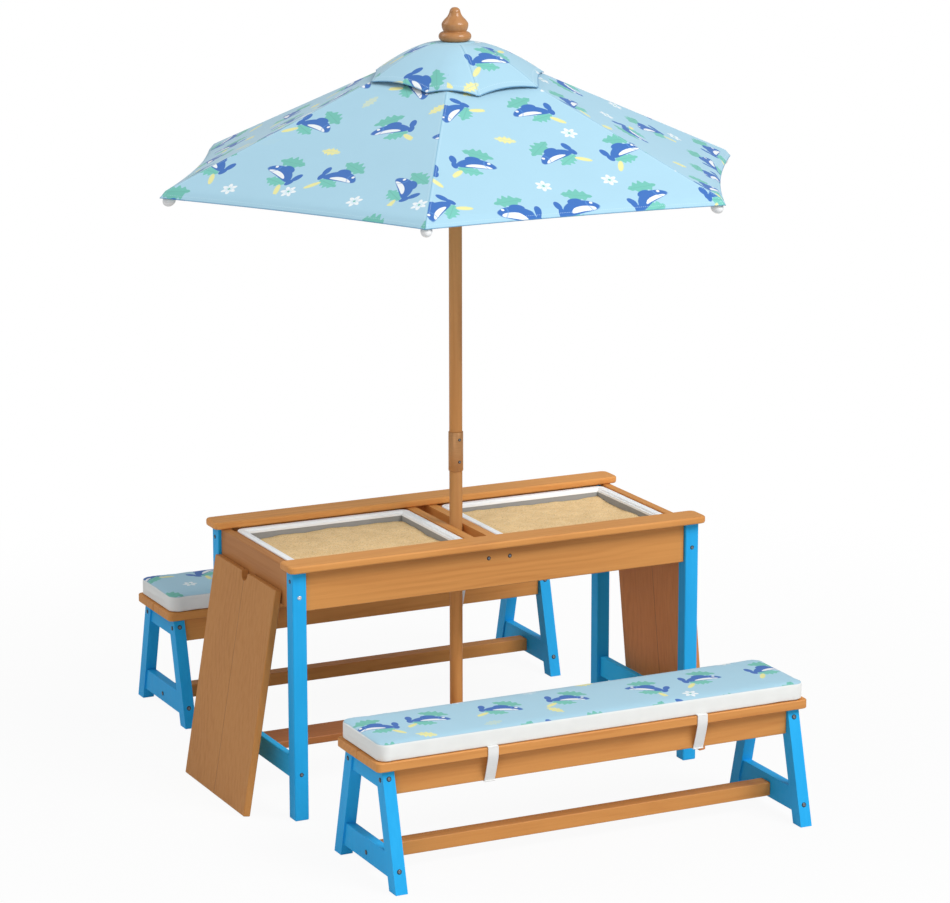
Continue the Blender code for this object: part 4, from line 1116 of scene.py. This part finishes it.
def blow_up(item, cap):
    """Some frames of cloth under pressure with no weight, each move capped, as new points."""
    start = np.empty(len(item.data.vertices) * 3, np.float32)
    item.data.vertices.foreach_get("co", start)
    cloth = item.modifiers.new("cloth", "CLOTH")
    cloth.settings.use_pressure = True
    cloth.settings.uniform_pressure_force = 4.0
    cloth.settings.effector_weights.gravity = 0.0
    cloth.settings.tension_stiffness = 30.0
    cloth.settings.compression_stiffness = 30.0
    cloth.settings.bending_stiffness = 1.0
    cloth.point_cache.frame_start = 1
    cloth.point_cache.frame_end = BLOW_FRAMES
    for number in range(1, BLOW_FRAMES + 1):
        bpy.context.scene.frame_set(number)
    blown = item.evaluated_get(bpy.context.evaluated_depsgraph_get()).to_mesh()
    end = np.empty(len(blown.vertices) * 3, np.float32)
    blown.vertices.foreach_get("co", end)
    move = (end - start).reshape(-1, 3)
    length = np.linalg.norm(move, axis=1, keepdims=True)
    move *= np.minimum(1.0, cap / np.maximum(length, 1e-9))
    item.modifiers.clear()
    bpy.context.scene.frame_set(1)
    return start.reshape(-1, 3) + move


def settle(points, centre):
    """Rest a pad on its seat: nothing below the seat, and nothing past the pad's own plan."""
    points = points.copy()
    points[:, 2] = np.maximum(points[:, 2], PAD_REST)
    for axis in (0, 1):
        far = PAD_HALF[axis] + PAD_SLACK
        points[:, axis] = np.clip(points[:, axis], centre[axis] - far, centre[axis] + far)
    return points


BENCHES = {"bench_front": (-0.0005, -0.5415 + POLE_Y), "bench_back": (0.026, 0.5985 + POLE_Y)}
profile = pad_profile()
x, y = rounded_outline(PAD_HALF, PAD_CORNER, profile[:, 0], (150, 20), 9)
for label, centre in BENCHES.items():
    grid = lifted(x, y, profile[:, 1:], centre)
    pad = surface_piece(f"{label}_pad", grid, cushion_finish, close_columns=True)
    outward(pad)
    shaped = settle(blow_up(pad, BLOW_CAP), centre)
    pad.data.vertices.foreach_set("co", shaped.astype(np.float32).ravel())
    pad.data.update()
    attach(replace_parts(pad, f"{label}_cushion"), label)
    print(label, "pad vertices", len(pad.data.vertices))

# %% [markdown]
# Two flat white straps go round each seat and hold its cushion. A bevelled curve would twist at the corners,
# so a flat section is carried along a smooth path that lies in one plane.

# %% Straps
finish = Finish("white_webbing")
sx, sy, sz = finish.parts(finish.place())
ribbed = ((sx * 2600.0).math("SINE") * 0.5 + 0.5) * 0.6 + ((sy + sz) * 1900.0).math("SINE") * 0.2
dull = finish.mottle(60.0)
webbing = finish.set(
    Base_Color=finish.mix(dull * 0.5 + ribbed * 0.25, (0.84, 0.84, 0.83), (0.70, 0.71, 0.70)),
    Roughness=0.8,
    Normal=finish.bump(ribbed, 0.35, 0.0006),
)


def strap_loop(depth_seat, depth_apron, apron_bottom):
    """The strap's way round the seat in depth and height: out from the pad's lower edge, over the seat's
    edge, in to the apron's lower corner, under both aprons and up the other side."""
    front = [(-depth_seat + 0.012, SEAT_TOP + 0.0016), (-depth_seat - 0.0004, SEAT_TOP + 0.0014)]
    front += [(-depth_seat - 0.0014, SEAT_TOP - 0.0012), (-depth_seat - 0.0012, SEAT_TOP - 0.0160)]
    front += [(-depth_apron - 0.0125, apron_bottom + 0.0340), (-depth_apron - 0.0014, apron_bottom + 0.0016)]
    front += [(-depth_apron + 0.0004, apron_bottom - 0.0012), (-0.040, apron_bottom - 0.0018)]
    return np.array(front + [(-y, z) for y, z in reversed(front)])


STRAP_X, STRAP_HALF, STRAP_EDGE, STRAP_THICK = 0.2288, 0.0113, 0.0105, 0.0008
under_side = [(-STRAP_HALF, 0.0), (-STRAP_EDGE, -STRAP_THICK), (STRAP_EDGE, -STRAP_THICK)]
strap_section = under_side + [(STRAP_HALF, 0.0), (STRAP_EDGE, STRAP_THICK), (-STRAP_EDGE, STRAP_THICK)]
way = smooth_path(strap_loop(depth_seat=0.0965, depth_apron=0.0800, apron_bottom=0.1780), 120)
ahead_way = np.gradient(way, axis=0)
ahead_way /= np.linalg.norm(ahead_way, axis=1, keepdims=True)
aside = np.stack([ahead_way[:, 1], -ahead_way[:, 0]], axis=1)
for label, centre in BENCHES.items():
    for side, name in SIDES:
        rows = []
        for across, out in strap_section:
            line = way + aside * out
            x = np.full(len(line), centre[0] + side * STRAP_X + across)
            rows.append(np.stack([x, line[:, 0] + centre[1], line[:, 1]], axis=1))
        grid = np.stack(rows, axis=1)
        strap = surface_piece(f"{label}_strap_{name}", grid, webbing, close_columns=True, caps=True)
        outward(strap)
        strap.data.set_sharp_from_angle(angle=math.radians(35))
        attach(strap, label)
print("straps ready")

# %% [markdown]
# Bolts join the frame. A head is a low dome with a sunk socket, turned from a small profile, and all the
# heads of one body are one piece. They are set on the wood, so that the CAD meshes need no holes.

# %% Bolts
finish = Finish("dark_bolt")
worn = finish.mottle(700.0)
# Painted highlight: the sunk socket in the middle of each head is painted a lighter grey, a glint in the
# hollow.
inward = finish.parts(finish.uv("head"))[0]
steel = finish.mix(worn, (0.035, 0.038, 0.045), (0.075, 0.080, 0.090))
steel = finish.mix(finish.step(0.60, 0.72, inward), steel, (0.26, 0.28, 0.31))
dark_bolt = finish.set(Base_Color=steel, Roughness=0.32 + worn * 0.2, Metallic=0.6)
BRIGHT_TONES = ((0.70, 0.71, 0.73), (0.82, 0.83, 0.84))
bright_bolt = worn_metal("bright_bolt", BRIGHT_TONES, (700.0, 2.0), (0.28, 0.15), 0.8)


def bolt_points(place, normal, radius):
    """A bolt head: washer edge, low dome, and a socket sunk in its middle."""
    dome = arc((0.0, 0.0), (radius, radius * 0.42), 0, 62, 6)
    rim = dome[-1]
    socket = [(rim[0] * 0.92, rim[1]), (rim[0] * 0.84, rim[1] * 0.35), (0.00001, rim[1] * 0.30)]
    washer = [(0.00001, -0.0006), (radius * 1.04, -0.0006), (radius * 1.04, 0.0002)]
    profile = np.vstack([washer, dome, socket])
    return turned_about(profile, np.asarray(place, float), np.asarray(normal, float), 20)


def bolt_set(name, places, body, material, radius):
    """All bolt heads of one body in one mesh."""
    grids = [bolt_points(place, normal, radius) for place, normal in places]
    rows, columns = grids[0].shape[:2]
    cells = grid_faces(rows, columns, False, True)
    faces = np.concatenate([cells + i * rows * columns for i in range(len(grids))])
    item = add_piece(name, np.concatenate([g.reshape(-1, 3) for g in grids]), faces, material)
    row_map(item, "head", rows, columns)
    outward(item)
    item.data.set_sharp_from_angle(angle=math.radians(40))
    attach(item, body)


LEG_FACE_Y, LEG_FACE_X, LEG_X = 0.209, 0.458, 0.443
APRON_FACE_Y = 0.202
LEG_BOLTS = (0.462, 0.096)
END_BOLT, APRON_BOLT = (0.196, 0.494), (0.0237, 0.492)
TABLE_BOLT, BENCH_BOLT, SLEEVE_SCREW = 0.0042, 0.0048, 0.0032
table_places = []
for sx in (-1, 1):
    for sy in (-1, 1):
        front = (0, sy, 0)
        for height in LEG_BOLTS:
            if (sx, sy, height) != (-1, -1, LEG_BOLTS[0]):
                table_places.append(((sx * LEG_X, sy * LEG_FACE_Y + POLE_Y, height), front))
        table_places.append(((sx * LEG_FACE_X, sy * END_BOLT[0] + POLE_Y, END_BOLT[1]), (sx, 0, 0)))
    for sy in (-1, 1):
        table_places.append(((sx * APRON_BOLT[0], sy * APRON_FACE_Y + POLE_Y, APRON_BOLT[1]), (0, sy, 0)))
bolt_set("table_bolts", table_places, "table", dark_bolt, TABLE_BOLT)
bright_place = ((-LEG_X, -LEG_FACE_Y + POLE_Y, LEG_BOLTS[0]), (0, -1, 0))
bolt_set("table_bright_bolt", [bright_place], "table", bright_bolt, TABLE_BOLT)
FRAME_FOOT, FRAME_TOP, FRAME_HEIGHT = 0.1433, 0.083, 0.230
lean = (FRAME_FOOT - FRAME_TOP) / FRAME_HEIGHT
FRAME_X, FRAME_BOLTS = 0.4435, (0.2128, 0.0425)
FRAME_END, STRETCHER_END = (0.456, 0.0745, 0.209), (0.4525, 0.041)
for label, centre in BENCHES.items():
    places = []
    for sx in (-1, 1):
        for sy in (-1, 1):
            tilt = (0, sy, lean)
            for height in FRAME_BOLTS:
                face = centre[1] + sy * (FRAME_FOOT - lean * height)
                places.append(((centre[0] + sx * FRAME_X, face, height), tilt))
            end = (centre[0] + sx * FRAME_END[0], centre[1] + sy * FRAME_END[1], FRAME_END[2])
            places.append((end, (sx, 0, 0)))
        places.append(((centre[0] + sx * STRETCHER_END[0], centre[1], STRETCHER_END[1]), (sx, 0, 0)))
    bolt_set(f"{label}_bolts", places, label, dark_bolt, BENCH_BOLT)
SCREW_BEARING, SCREW_RADIUS, SCREW_HEIGHTS = math.radians(-85.0), 0.0152, (0.6958, 0.649)
normal = (math.cos(SCREW_BEARING), math.sin(SCREW_BEARING), 0.0)
screw_foot = (SCREW_RADIUS * normal[0], SCREW_RADIUS * normal[1] + POLE_Y)
screw_places = [((*screw_foot, height), normal) for height in SCREW_HEIGHTS]
bolt_set("sleeve_screws", screw_places, "umbrella", dark_bolt, SLEEVE_SCREW)
print("bolts ready")

# %% Finish
bpy.context.view_layer.update()
